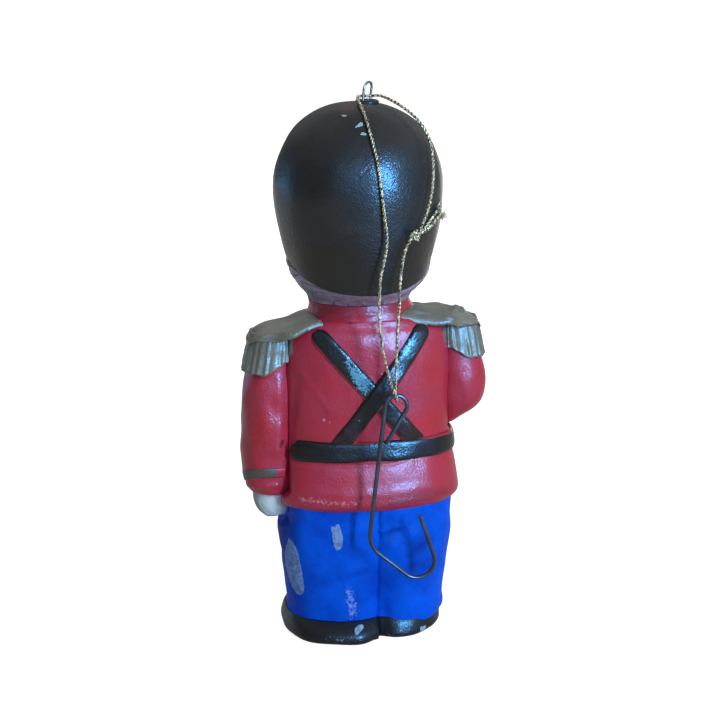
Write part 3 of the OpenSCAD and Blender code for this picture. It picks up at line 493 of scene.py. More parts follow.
def inside(spots, outline):
    """How far spots lie inside an outline, in pixels"""
    a = np.array(outline, float)
    b = np.roll(a, -1, 0)
    d = b - a
    p = spots[:, None] - a
    t = np.clip((p * d).sum(-1) / (d * d).sum(-1), 0, 1)
    far = np.sqrt(((p - d * t[..., None]) ** 2).sum(-1)).min(1)
    crosses = (a[:, 1] > spots[:, 1:]) != (b[:, 1] > spots[:, 1:])
    x = a[:, 0] + (spots[:, 1:] - a[:, 1]) * d[:, 0] / np.where(d[:, 1] == 0, 1e-9, d[:, 1])
    odd = (crosses & (spots[:, :1] < x)).sum(1) % 2 == 1
    return np.where(odd, far, -far)


def mark(piece, label, *outlines, soft=3.0, full=1.0):
    """Marks areas that the picture shows: 0.5 on their outlines, rising inwards"""
    points, _, facing = points_of(piece)
    spots = in_picture(points)
    depth = np.max([inside(spots, outline) for outline in outlines], 0)
    store(piece.data, label, np.where(facing > 0, np.clip(0.5 + depth / (2 * soft), 0, 1), 0) * full)


def press(piece, strokes, wave=0.06, wave_size=7.0, seed=1):
    """Presses folds and dents into a piece, and the unevenness of a cast that was fettled by hand.
    A stroke is its line in the picture, its half width in pixels and its height in millimetres"""
    points, normals, facing = points_of(piece)
    spots = in_picture(points)
    height = np.zeros(len(points))
    for line, half, tall in strokes:
        line = np.array(line, float)
        best = np.full(len(spots), 1e9)
        for a, b in zip(line[:-1], line[1:]):
            t = np.clip(((spots - a) @ (b - a)) / ((b - a) @ (b - a)), 0, 1)
            best = np.minimum(best, np.linalg.norm(spots - a - t[:, None] * (b - a), axis=1))
        height += tall * np.exp(-(best / half) ** 2) * ease(facing / 0.3)
    rolls = np.random.default_rng(seed)
    for _ in range(14):
        way = rolls.normal(size=3)
        way *= math.tau / (wave_size * MM * rolls.uniform(0.7, 1.8)) / np.linalg.norm(way)
        height += wave / 2.6 * np.sin(points @ way + rolls.uniform(0, math.tau))
    piece.data.vertices.foreach_set("co", (points + normals * height[:, None] * MM).ravel())
    piece.data.update()


def enamel(name, colour, over=None, tint=None, over_metal=0.0, metal=0.0, gloss=0.42, coat=0.35, spec=0.3,
           vary=0.16, bare_and_highlight=(150, 182, 214), grain=0.1, wobble=0.4, dirt_and_shade=(34, 20, 30), seed=0.0):
    """Brushed enamel on a casting. The numbers stored on a piece say where a second paint lies over the
    first, where it is chipped to the ground colour, where paint is rubbed and where highlights are painted in
    the pale colour, and where it is dirty and where shade is painted in the dark colour"""
    material, tree, place = new_finish(name)
    patch, fleck = cloud(place, 6, 3, seed), cloud(place, 0.7, 3, seed + 1)
    ragged = (cloud(place, 0.9, 3, seed + 2) - 0.5) * wobble
    light = tuple(min(1.0, c * (1 + vary)) for c in colour[:3]) + (1.0,)
    dark = tuple(c * (1 - vary) for c in colour[:3]) + (1.0,)
    skin = blend(step_at(patch * 0.7 + fleck * 0.3, 0.5, 0.22), dark, light)
    if tint:
        skin = blend(step_at(cloud(place, 11, 2, seed + 7) * 0.8 + fleck * 0.2, 0.47, 0.18) * 0.8, skin, tint)
    metallic = metal
    if over:
        laid = step_at(stored(tree, "paint") + ragged, 0.5, 0.035)
        thin = step_at(stored(tree, "thin") + (fleck - 0.5) * 0.7, 0.5, 0.3)
        skin = blend(laid * (1 - thin * 0.35), skin, over)
        if over_metal != metal:
            metallic = laid * (over_metal - metal) + metal
    # rubbed paint and painted highlights both lay the pale colour
    worn_and_highlit = step_at(stored(tree, "wear") * 0.75 + (cloud(place, 0.45, 3, seed + 3) - 0.5) * 1.1, 0.52, 0.12)
    skin = blend(worn_and_highlit * 0.75, skin, hue(*bare_and_highlight))
    # dirt and painted shade both lay the dark colour
    grime = stored(tree, "grime")
    skin = blend((grime * (0.7 + fleck * 0.5)).math("MINIMUM", 1.0), skin, hue(*dirt_and_shade))
    chip = step_at(stored(tree, "chip") + ragged * 0.8, 0.5, 0.04)
    scuffs = step_at(cloud(place, 0.8, 4, seed + 4), 0.52, 0.16)
    skin = blend(chip, skin, blend(scuffs, hue(*[c * 0.78 for c in bare_and_highlight]), hue(*bare_and_highlight)))
    orange_peel = cloud(place, 0.4, 2.0, seed + 5) * grain + cloud(place, 1.6, 1.0, seed + 6) * grain * 0.8
    relief = (orange_peel * (1 + chip * 1.5) - chip * 0.06 - worn_and_highlit * 0.01) * MM
    rough = (fleck * 0.14 + (gloss - 0.07)) * (1 - chip) + chip * 0.75
    surface(tree, relief, Base_Color=skin, Metallic=metallic, Roughness=rough, Specular_IOR_Level=spec,
            Coat_Weight=coat, Coat_Roughness=0.12)
    return material


def boot_table(heel):
    """The boots' heights and sizes for a heel that reaches this far back"""
    top_toe = mix(TOE_REACH, CUFFS_D / 2, 0.85)
    rows = [(0, 0.95 * BOOTS_W, 1.88 * heel, 1.9 * TOE_REACH),
            (0.05, 0.98 * BOOTS_W, 1.95 * heel, 1.96 * TOE_REACH), (0.2, BOOTS_W, 2 * heel, 2 * TOE_REACH),
            (0.5, 0.99 * BOOTS_W, 1.96 * heel, 1.94 * TOE_REACH),
            (0.75, mix(BOOTS_W, CUFFS_W, 0.4), heel + CUFFS_D / 2, 2 * mix(TOE_REACH, top_toe, 0.6)),
            (1, CUFFS_W, CUFFS_D, 2 * top_toe)]
    return [level(share * BOOT_H, *sizes, CREASE_SHARE) for share, *sizes in rows]


def half_rings(rows, z, side):
    """Half of each section with the crease between the legs; the split leans to the right behind"""
    a = np.radians(np.linspace(-90, 90, 110))[None]
    p = section(rows, z[:, None], a, square=LEG_SQUARE)
    x, y = p[..., 0], p[..., 1]
    y = y * (1 - read(rows, z, 4)[:, None] * np.exp(-(x / CREASE_W) ** 2))
    x = side * (x + 0.02)
    x = x - SPLIT_SHIFT * np.exp(-(x / 9) ** 2) * ease(y / 8 + 0.5)
    return places(x, y, p[..., 2])


boot_black = enamel("boot_black", hue(15, 17, 20), gloss=0.45, vary=0.3, bare_and_highlight=(128, 186, 232), seed=3.0)
for name, side, heel, chip, rubbed in (
        ("left_boot", 1, HEEL_REACH,
         [(354.5, 628.8), (360, 623.3), (363.7, 625.1), (363.3, 628.8), (358.2, 634.4), (355.4, 635.8)],
         [(318, 641), (340, 645), (372, 641), (372, 633), (345, 636), (325, 634)]),
        ("right_boot", -1, HEEL_REACH - HEEL_STEP,
         [(419.9, 627), (425.5, 625.1), (426.4, 627), (423.1, 631.6), (420.4, 631.6)],
         [(380, 640), (400, 637), (425, 631), (420, 627), (400, 628), (384, 633)])):
    z = mix(0, BOOT_H, ease(np.linspace(0, 1, 30)) * 0.5 + np.linspace(0, 1, 30) * 0.5)
    rings = half_rings(boot_table(heel), z, side)
    rings[..., 0] += (1 - z[:, None] / BOOT_H * 0.35) * ease(np.abs(rings[..., 0]) / 12)
    rings[..., 1] *= 1.05 if side > 0 else 1.0
    boot = cast(name + "_upper", rings, boot_black)
    press(boot, [], 0.07, 6, 5 + side)
    points = points_of(boot)[0]
    points[:, 2] = np.maximum(points[:, 2], 0)
    boot.data.vertices.foreach_set("co", points.ravel())
    belong(boot, name)
    mark(boot, "chip", chip, soft=1.5)
    mark(boot, "wear", rubbed, soft=6, full=0.62)

# ---- Trousers ----
# Straight trousers, cast with the figure and brushed with bright blue gloss paint. Folds and a dent mark the
# seat, and the paint is chipped on the left leg and pitted low down, where pale specks also paint glints.
# Navy painted shade darkens the dent, the hollows by the folds and the left side of the left leg.
LEG_H, HEM_Z = 25.4, 30.0
HAND_TIP_Z, ARM_PLANE, CUFF_FLARE = 26.9, 18.0, 0.02
leg_rows = [level(BOOT_H + share * LEG_H, *sizes, deep * CREASE_SHARE) for share, *sizes, deep in (
    (0, CUFFS_W, CUFFS_D, CUFFS_D, 1),
    (0.22, mix(CUFFS_W, SEAT_W, 0.3), mix(CUFFS_D, SEAT_D, 0.35), CUFFS_D, 0.9),
    (0.52, mix(CUFFS_W, SEAT_W, 0.7), mix(CUFFS_D, SEAT_D, 0.75), CUFFS_D, 0.6),
    (0.75, SEAT_W, SEAT_D, mix(CUFFS_D, SEAT_D, 0.4), 0.25),
    (1, SEAT_W, 0.99 * SEAT_D, mix(CUFFS_D, SEAT_D, 0.5), 0.1))]
# The navy colour is painted shade
trouser_blue = enamel("trouser_blue", hue(0, 84, 255), gloss=0.5, coat=0.03, spec=0.06, vary=0.3,
                      wobble=0.7, bare_and_highlight=(124, 170, 250), dirt_and_shade=(4, 16, 92), seed=7.0)
legs = []
for name, side, drop in (("left_trouser_leg", 1, 3.2), ("right_trouser_leg", -1, 1.3)):
    z = np.linspace(BOOT_H - 0.3, HEM_Z + 3.0, 110)
    rings = half_rings(leg_rows, np.clip(z, BOOT_H, HEM_Z), side)
    rings[..., 2] = z[:, None]
    middle_of_leg = np.exp(-((np.abs(rings[..., 0]) - 9) / 7) ** 4)
    rings[..., 2] -= drop * middle_of_leg * ease(1 - (z[:, None] - BOOT_H) / 6)
    if side > 0:
        rings[..., 0] = np.minimum(rings[..., 0], ARM_PLANE + np.maximum(0, HAND_TIP_Z - rings[..., 2]))
    rings[..., :2] *= 1 + CUFF_FLARE * ease(1 - (z[:, None, None] - BOOT_H) / 2.5)
    legs.append(cast(name + "_cloth", rings, trouser_blue))
    belong(legs[-1], name)
left_leg, right_leg = legs
press(left_leg, [
    ([(371, 562), (372.5, 612)], 4.5, 0.35), ([(342, 576), (352, 571), (367, 567)], 4, 0.25),
    ([(340, 583), (352, 578), (366, 573)], 3, -0.2), ([(366, 598), (370, 618)], 3, 0.2),
    ([(350, 590), (352, 618)], 7, -0.22), ([(283, 512), (291, 520)], 6, -0.4)], 0.09, 6, 21)
press(right_leg, [
    ([(375.7, 532.7), (384, 531.8), (390, 529.5), (397, 527)], 2.6, 0.42),
    ([(380, 538), (388, 534), (399, 531)], 4, -0.35), ([(416, 551), (426, 543)], 7, -0.25),
    ([(412, 567), (428, 562)], 4, -0.2), ([(386, 545), (388, 560)], 7, 0.3),
    ([(384, 600), (384, 616)], 3, -0.2), ([(408, 575), (408, 610)], 8, 0.2)], 0.09, 6, 22)
mark(left_leg, "chip",
     [(330.9, 525.8), (335.1, 527.2), (336.9, 523.9), (339.7, 524.9), (341.1, 532.7), (342.9, 535.5),
      (342.5, 545.7), (339.7, 549.4), (336.5, 550.7), (334.1, 545.7), (332.3, 537.3)],
     [(288.9, 537.3), (292.1, 541), (294.9, 545.7), (298.6, 554.9), (300.4, 564.1), (302.7, 575.2),
      (304.1, 586.3), (303.7, 592.8), (300, 595.1), (296.3, 593.3), (291.6, 586.3), (288.4, 577.1),
      (285.6, 564.1), (284.7, 552.1), (286.6, 543.8)], soft=2.0)
# Painted shade darkens the dent and the hollows beside the folds of the right leg
mark(right_leg, "grime", [(410, 556), (413, 545), (424, 538), (429, 542), (424, 552)],
     [(384, 537), (392, 528), (398, 527), (396, 533), (386, 545)],
     [(410, 566), (428, 561), (428, 566), (411, 571)], soft=7, full=0.6)
# Pale specks low on the left leg: pitted paint and painted glints
mark(left_leg, "wear", [(341, 586), (352, 584), (361, 604), (360, 622), (346, 620)], soft=7, full=0.74)
mark(right_leg, "wear", [(404, 572), (414, 570), (413, 604), (405, 606)], soft=9, full=0.5)
# Painted shade darkens the left side of the left leg beside the glove
mark(left_leg, "grime", [(270, 500), (288, 500), (289, 522), (281, 600), (270, 600)], soft=14, full=0.85)

# ---- Skirt of the tunic ----
# The tunic's skirt under the belt, cast with the figure and painted red. Its hem turns under and
# stands off the trousers, and the paint is rubbed along it.
SKIRT_H, TORSO_H = 14.4, 29.2
WAIST_Z, COLLAR_Z = 44.4, 73.6
WAIST_W, WAIST_D, HEM_W, HEM_D, HEM_TURN = 39.2, 25.2, 43.4, 29.8, 1.1
SLEEVE_END_Z, HEM_LIFT, HEM_PAST_ARM = HEM_Z + 3.3, 1.2, 1.7
hem_line, hem_line_d = HEM_W - 2 * HEM_TURN, HEM_D - 2 * HEM_TURN
skirt_rows = [
    level(HEM_Z, hem_line, hem_line_d, hem_line_d),
    level(HEM_Z + 0.08 * SKIRT_H, mix(hem_line, HEM_W, 0.8), *[mix(hem_line_d, HEM_D, 0.8)] * 2),
    level(HEM_Z + 0.2 * SKIRT_H, HEM_W, HEM_D, HEM_D),
    level(HEM_Z + 0.6 * SKIRT_H, mix(WAIST_W, HEM_W, 0.6), *[mix(WAIST_D, HEM_D, 0.65)] * 2),
    level(WAIST_Z, WAIST_W, WAIST_D, WAIST_D)]
around = np.radians(np.arange(0, 360, 1.25))[None]
# The violet blotches are partly faded paint and partly a painted sheen; the pale pink colour serves the
# nicks, the rubbed hem and the painted highlights
tunic_red = enamel("tunic_red", hue(172, 34, 50), over=hue(112, 116, 108), tint=hue(162, 48, 86),
                   over_metal=0.3, bare_and_highlight=(194, 136, 176), dirt_and_shade=(46, 20, 34), seed=12.0)
z = HEM_Z + (WAIST_Z - HEM_Z) * (np.linspace(0, 1, 60) ** 1.3)
rings = section(skirt_rows, z[:, None], around)
past_arm = HEM_PAST_ARM * ease((SLEEVE_END_Z + 1.5 - z[:, None]) / 3)
rings[..., 0] = np.minimum(rings[..., 0], ARM_PLANE + past_arm)
rings[..., 2] += HEM_LIFT * ease((rings[..., 1] + 4) / 12) * ease(1 - (z[:, None] - HEM_Z) / 8)
turned_under = rings[:1] * [0.93, 0.93, 1] + [0, 0, 0.35]
skirt = cast("tunic_skirt_cloth", np.concatenate([turned_under, rings]), tunic_red)
under_belt = [(291, 463.5), (314, 464.6), (326, 466.3), (343, 466.3), (377, 465.2), (395, 463.5), (409, 459)]
press(skirt, [(under_belt, 1.5, -0.2),
              ([(300, 490), (340, 496), (380, 495), (430, 486)], 5, 0.12)], 0.04, 7, 31)
mark(skirt, "wear", [(298, 496), (330, 499), (366, 500), (372, 506), (340, 508), (300, 504)],
     [(384, 500), (405, 498), (404, 503), (384, 505)], soft=6, full=0.85)
mark(skirt, "grime", [(390, 500), (446, 489), (448, 494), (390, 506)], soft=5, full=0.6)
belong(skirt, "tunic_skirt")

# ---- Tunic and collar ----
# The body of the red tunic from waist to neck, with a low stand collar. The shoulders tilt, the
# right one up. Nicks in the paint show the ground.
CHEST_W, CHEST_D, NECK_W, NECK_D, COLLAR_FLARE, COLLAR_H = 38.6, 25.6, 22.6, 20.0, 1.9, 3.4
SHOULDER_TILT, SHOULDER_SHARE, ELBOW_Z, HEAD_OFF = 0.9, 0.3, WAIST_Z + 3.0, 1.3
collar_foot = NECK_W / 2 + COLLAR_FLARE
torso_rows = [level(WAIST_Z + share * TORSO_H, *sizes) for share, *sizes in (
    (0, WAIST_W, WAIST_D, WAIST_D), (0.25, mix(WAIST_W, CHEST_W, 0.4), CHEST_D, CHEST_D),
    (0.55, CHEST_W, CHEST_D, CHEST_D), (0.78, 0.99 * CHEST_W, 0.98 * CHEST_D, 0.96 * CHEST_D),
    (0.9, 0.96 * CHEST_W, 0.93 * CHEST_D, 0.89 * CHEST_D),
    (0.96, mix(NECK_W, CHEST_W, 0.7), 0.87 * CHEST_D, 0.84 * CHEST_D),
    (1, NECK_W + 2 * COLLAR_FLARE, NECK_D + COLLAR_FLARE, NECK_D + COLLAR_FLARE))]


def shoulder_height(x):
    """The height of the shoulders' slope before they tilt"""
    return COLLAR_Z - SHOULDER_SHARE * np.maximum(0, np.abs(x) - collar_foot)


def tilted(p):
    """The same places on the tilted shoulders"""
    rise = (-SHOULDER_TILT * np.sign(p[..., 0])
            * ease((np.abs(p[..., 0]) - collar_foot) / (ARM_PLANE - collar_foot))
            * ease(((p[..., 2] - WAIST_Z) / TORSO_H - 0.3) / 0.3))
    return places(p[..., 0], p[..., 1], p[..., 2] + rise)


z = np.linspace(WAIST_Z - 0.5, COLLAR_Z, 100)
rings = section(torso_rows, np.maximum(z, WAIST_Z)[:, None], around)
rings[..., 2] = z[:, None]
right_limit = ARM_PLANE + np.maximum(0, ELBOW_Z - rings[..., 2])
rings[..., 0] = np.clip(rings[..., 0], -right_limit, ARM_PLANE)
rings[..., 2] = np.minimum(rings[..., 2], shoulder_height(rings[..., 0]))
tunic = cast("tunic_cloth", tilted(rings), tunic_red)
press(tunic, [
    ([(360, 345), (356, 372), (352, 385)], 8, 0.18), ([(296, 380), (292, 420), (290, 440)], 5, -0.25),
    ([(448, 372), (452, 395)], 5, -0.2), ([(300, 372), (330, 412)], 3, 0.12),
    ([(340, 319), (380, 319), (400, 317)], 2.5, 0.1), ([(291.5, 338), (291, 353)], 1.7, 0.3)], 0.05, 7, 41)
mark(tunic, "paint",
     [(276, 326), (295.4, 330), (292.5, 345), (293, 351), (288.5, 359.6), (283, 365), (270, 366), (270, 330)],
     [(443, 326), (443, 336), (446, 342), (450, 352), (470, 352), (470, 320)], soft=1.2)
# Painted highlights in the pale pink colour: a speckled streak on the upper back and a glint line beside the
# right fringe
mark(tunic, "wear", [(440, 333), (443, 333), (449, 350), (447, 351)],
     [(372, 322), (381, 322), (388, 330), (397, 342), (398, 352), (391, 352), (383, 341), (373, 331)],
     soft=2.5, full=0.8)
mark(tunic, "chip", [(322, 419), (325, 418), (326, 422), (323, 422)],
     [(328, 421), (331, 422), (330, 425)], soft=1.0)

s = np.linspace(0, 1, 14)[:, None]
x = HEAD_OFF * s + (NECK_W / 2 + COLLAR_FLARE * (1 - s) ** 2) * np.cos(around)
y = (NECK_D / 2 + COLLAR_FLARE / 2 * (1 - s)) * np.sin(around)
z = mix(COLLAR_Z - 0.4, COLLAR_Z + COLLAR_H, s)
collar = cast("collar_cloth", places(x, y, z), tunic_red)
press(collar, [([(318, 311), (350, 316), (404, 312)], 2.0, 0.12)], 0.05, 5, 42)
# Painted shade darkens the back of the collar under the hair
mark(collar, "grime", [(314, 298), (404, 298), (402, 312), (326, 316), (314, 316)], soft=9, full=0.5)
for piece, node in ((tunic, "tunic"), (collar, "collar")):
    belong(piece, node)

# ---- Sleeves ----
# The left arm hangs straight and the right one bends at the elbow, with the forearm across the
# front. All are cast on the body, so each meets it in a rounded groove.
ARM_REACH, SLEEVE_D, SLEEVE_TOP_Z = 28.0, 13.0, WAIST_Z + 24.2
LIMB_SQUARE, ARM_W, ARM_IN = 2.2, ARM_REACH - ARM_PLANE, ARM_PLANE - 0.3
FOREARM_PLANE, MIRROR = 0.35 * SLEEVE_D, np.array([-1, 1, 1])


def arm_rows(low, high, shares):
    """Heights, middles, half widths and half depths of an arm from its shares"""
    return [(mix(low, high, s), ARM_PLANE + (o - i) * ARM_W / 2, (o + i) * ARM_W / 2, d * SLEEVE_D / 2)
            for s, o, i, d in shares]


def arm_points(rows, z, a, grow_by=0.0):
    """Points of an arm's sections, flat where the arm joins the tunic"""
    x = read(rows, z, 1) + (read(rows, z, 2) + grow_by) * signed(np.cos(a), 2 / LIMB_SQUARE)
    y = (read(rows, z, 3) + grow_by) * signed(np.sin(a), 2 / LIMB_SQUARE)
    return places(np.maximum(ARM_IN, x), y, z)


# shares of the height, of the reach out and in from the arm's plane, and of the depth
left_arm = arm_rows(SLEEVE_END_Z, SLEEVE_TOP_Z, [
    (0, 0.8, 0.15, 0.8), (0.02, 0.86, 0.2, 0.87), (0.07, 0.94, 0.25, 0.95), (0.18, 1, 0.25, 1),
    (0.5, 0.98, 0.25, 1), (0.7, 0.95, 0.25, 0.98), (0.83, 0.86, 0.25, 0.92), (1, 0.77, 0.25, 0.84)])
right_arm = arm_rows(ELBOW_Z, SLEEVE_TOP_Z, [
    (0, 0.12, 0.04, 0.35), (0.04, 0.34, 0.1, 0.56), (0.125, 0.64, 0.2, 0.76), (0.21, 0.84, 0.25, 0.88),
    (0.3, 0.96, 0.25, 0.95), (0.4, 1, 0.25, 1), (0.55, 0.96, 0.25, 0.98), (0.72, 0.86, 0.25, 0.92),
    (1, 0.77, 0.25, 0.84)])
z = mix(SLEEVE_END_Z, SLEEVE_TOP_Z, np.linspace(0, 1, 110) ** 1.15)
left_sleeve = cast("left_sleeve_cloth", tilted(arm_points(left_arm, z[:, None], around)), tunic_red)
press(left_sleeve, [([(279, 380), (280, 420), (277, 450)], 4.5, 0.16), ([(263, 400), (265, 450)], 6, 0.12),
                    ([(246, 484), (262, 487), (276, 486)], 3, 0.3)], 0.08, 6, 51)
mark(left_sleeve, "grime", [(282, 440), (284.5, 441), (281, 448), (279, 447)], soft=1.2)
z = mix(ELBOW_Z, SLEEVE_TOP_Z, np.linspace(0, 1, 90) ** 1.3)
rings = arm_points(right_arm, z[:, None], around)
rings[..., 1] = np.maximum(-FOREARM_PLANE - 0.4, rings[..., 1])
right_sleeve = cast("right_sleeve_cloth", tilted(rings * MIRROR), tunic_red)
press(right_sleeve, [([(462, 380), (468, 396)], 6, 0.15)], 0.08, 6, 52)

FOREARM_H, FOREARM_T, STRAP_T, STRAP_W = 8.2, 6.0, 0.7, 4.3
STRAP_FOOT_X, STRAP_LAYER = 0.46 * CHEST_W / 2, STRAP_T + 0.05
FOREARM_Z, ARM_MID = ELBOW_Z + 0.6 * FOREARM_H, ARM_PLANE + ARM_W / 2


def tunic_reach(x, z, side):
    """How far back (1) or forward (-1) the tunic reaches at a place"""
    low = np.asarray(z) < WAIST_Z
    column = 2 if side > 0 else 3
    w = np.where(low, read(skirt_rows, z, 1), read(torso_rows, z, 1))
    depth = np.where(low, read(skirt_rows, z, column), read(torso_rows, z, column))
    return depth * np.maximum(0, 1 - np.minimum(1, np.abs(x) / w) ** BODY_SQUARE) ** (1 / BODY_SQUARE)


def rest_on_tunic(p):
    """Presses a limb's back on to the tunic and the crossed straps"""
    x, y, z = p[..., 0], p[..., 1], p[..., 2]
    over_strap = 2 * STRAP_LAYER * np.clip((STRAP_FOOT_X + 1.8 * STRAP_W - np.abs(x)) / STRAP_W, 0, 1)
    front = -tunic_reach(x, z, -1) + 0.3 - over_strap
    return places(x, np.where(np.abs(x) < ARM_PLANE, np.minimum(y, front), y), z)


def limb_rings(path, tall, thick, start, count):
    """Rings square to a level path of places and shares of the full size"""
    rows = through(path, count)
    ahead = np.gradient(rows[:, :2], axis=0)
    ahead[0] = start
    ahead /= np.linalg.norm(ahead, axis=1)[:, None]
    thick = np.interp(np.linspace(0, 1, len(rows)), np.linspace(0, 1, len(thick)), thick)[:, None]
    a = np.radians(np.arange(0, 360, 3))[None]
    out = rows[:, 3:] * thick / 2 * signed(np.cos(a), 2 / LIMB_SQUARE)
    up = rows[:, 3:] * tall / 2 * signed(np.sin(a), 2 / LIMB_SQUARE)
    return rest_on_tunic(places(rows[:, :1] + ahead[:, 1:] * out, rows[:, 1:2] - ahead[:, :1] * out,
                                rows[:, 2:3] + up))


forearm_out, forearm_start = -CHEST_D / 2 - 0.45 * FOREARM_T, -FOREARM_PLANE + 0.6
# shares of the way across, of the way back and of the forearm's height, where it also narrows
forearm_path = [(-r[0] * ARM_MID, mix(forearm_out, forearm_start, r[1]), FOREARM_Z + r[2] * FOREARM_H,
                 1 - 0.6 * r[2]) for r in [(1, 1, 0), (0.97, 0.72, 0), (0.88, 0.42, 0), (0.72, 0.18, 0.04),
                                           (0.52, 0.04, 0.1), (0.3, 0, 0.16)]]
forearm = cast("right_forearm_cloth", limb_rings(
    forearm_path, FOREARM_H, [ARM_W, mix(ARM_W, FOREARM_T, 0.5)] + [FOREARM_T] * 4, (0, -1), 12), tunic_red)
press(forearm, [], 0.08, 5, 53)
for piece, node in ((left_sleeve, "left_sleeve"), (right_sleeve, "right_sleeve"), (forearm, "right_forearm")):
    belong(piece, node)

# ---- Hands ----
# Hands in white gloves, cast with the arms and painted white. Shallow grooves part the fingers, and painted
# shade greys the left glove on its left side low down.
# The grey colour is painted shade
glove_white = enamel("glove_white", hue(196, 228, 255), vary=0.06, gloss=0.45, coat=0.2,
                     bare_and_highlight=(150, 150, 146), dirt_and_shade=(96, 92, 92), seed=17.0)
FINGER_PITCH, FINGER_GROOVE = 1.05, 0.28
left_palm = arm_rows(HAND_TIP_Z, SLEEVE_END_Z, [
    (0, 0.38, -0.14, 0.18), (0.06, 0.5, -0.02, 0.34), (0.2, 0.62, 0.06, 0.5), (0.5, 0.72, 0.12, 0.62),
    (0.8, 0.77, 0.15, 0.66), (1, 0.78, 0.15, 0.66)])
z = mix(HAND_TIP_Z, SLEEVE_END_Z + 0.8, np.linspace(0, 1, 50) ** 1.4)
rings = arm_points(left_palm, np.minimum(z, SLEEVE_END_Z)[:, None], around)
rings[..., 2] = z[:, None]
part = np.cos(rings[..., 1] / FINGER_PITCH * math.pi) ** 12 * ease((rings[..., 0] - 21) / 2)
rings[..., 0] -= FINGER_GROOVE * part * ease((SLEEVE_END_Z - 1.5 - rings[..., 2]) / 2)
left_hand = cast("left_glove", rings, glove_white)
press(left_hand, [([(259, 502), (268, 516)], 3, 0.2)], 0.06, 4, 61)
# Painted shade greys the left side of the left glove
mark(left_hand, "grime", [(245, 488), (258, 490), (262, 506), (270, 520), (255, 520)], soft=7, full=0.75)

wrist = forearm_path[-1]
# shares of the same across, back and up from the wrist, and of the full size
palm_path = [(wrist[0] - 0.3 + r[0] * ARM_MID, wrist[1] + r[1] * FOREARM_T, wrist[2] + r[2] * FOREARM_H, r[3])
             for r in [(0, 0, 0, 0.8), (0.12, 0, 0.02, 0.84), (0.24, 0.04, 0.03, 0.82),
                       (0.34, 0.1, 0.02, 0.68), (0.39, 0.16, 0, 0.42)]]
rings = limb_rings(palm_path, FOREARM_H, [FOREARM_T] * 5, (1, -0.09), 14)
part = np.cos((rings[..., 2] - wrist[2]) / 1.7 * math.pi) ** 12 * ease((rings[..., 0] + 5.5) / 2)
rings[..., 1] += 0.35 * part * (rings[..., 1] < wrist[1])
right_hand = cast("right_glove", rings, glove_white)
press(right_hand, [], 0.06, 4, 62)
for piece, node in ((left_hand, "left_hand"), (right_hand, "right_hand")):
    belong(piece, node)

# ---- Cuff bands ----
# A narrow raised band round each cuff, moulded on the sleeve and brushed with dull pewter paint.
# The left one rises towards the back.
CUFF_Z, CUFF_H, CUFF_T, CUFF_LIFT, CUFF_RISE, ARM_OPEN = SLEEVE_END_Z + 0.8, 2.5, 0.5, 1.3, 2.3, 116
pewter = enamel("pewter", hue(124, 128, 118), over=hue(164, 36, 52), metal=0.35, gloss=0.5, coat=0.2,
                vary=0.2, bare_and_highlight=(182, 192, 184), grain=0.12, seed=23.0)
cuff_pewter = enamel("cuff_pewter", hue(88, 84, 82), over=hue(164, 36, 52), metal=0.2, gloss=0.5, coat=0.15,
                     vary=0.2, grain=0.07, seed=27.0)


def band_profile(count=15):
    """A low cushion across a band: places across it from -1 to 1 and heights from -0.5 to 1"""
    t = np.linspace(-1, 1, count)
    top = np.stack([t, np.where(np.abs(t) > 0.995, -0.5, (1 - np.abs(t) ** 5) ** 0.7)], -1)
    return np.concatenate([top, [(0.7, -0.7), (0, -0.7), (-0.7, -0.7)]])


profile = band_profile()
a = np.radians(np.linspace(-ARM_OPEN, ARM_OPEN, 130))
band_z = CUFF_Z + CUFF_LIFT + CUFF_RISE * np.maximum(0, np.sin(a))
cuff_rings = np.stack([arm_points(left_arm, band_z + CUFF_H / 2 * (1 + t), a, h * CUFF_T * 0.6 - 0.1)
                       for t, h in profile], 1)
left_cuff = cast("left_cuff_trim", cuff_rings, cuff_pewter)
mark(left_cuff, "paint", [(279, 455), (292, 455), (292, 482), (280, 482), (276, 474)], soft=1.2)
band_at, b, slant, rings = through(forearm_path, 12)[-13], np.radians(np.linspace(-80, 80, 60)), 0.09, []
for t, h in profile:
    out = (band_at[3] * FOREARM_T / 2 + h * CUFF_T) * signed(np.cos(b), 2 / LIMB_SQUARE)
    up = (band_at[3] * FOREARM_H / 2 + h * CUFF_T) * signed(np.sin(b), 2 / LIMB_SQUARE)
    rings.append(rest_on_tunic(places(band_at[0] + t * CUFF_H / 2 - slant * out,
                                      band_at[1] - slant * t * CUFF_H / 2 - out, band_at[2] + up)))
right_cuff = cast("right_cuff_trim", np.stack(rings, 1), cuff_pewter)
for piece, node in ((left_cuff, "left_cuff_band"), (right_cuff, "right_cuff_band")):
    press(piece, [], 0.04, 3, 71)
    belong(piece, node)

# ---- Epaulettes ----
# Shoulder boards in pewter paint, one button bump on the right one. They lie on the shoulders from
# the collar to the sleeve tops and their outer ends turn down over the fringe.
PAD_T, PAD_D, PAD_OUT = 1.7, 16.4, ARM_REACH - 0.16 * ARM_W
FRONT_DRAPE, BACK_DRAPE, NECK_ROUND, BOARD_WIDER = 1.25, 0.5, 11.2, 1.17
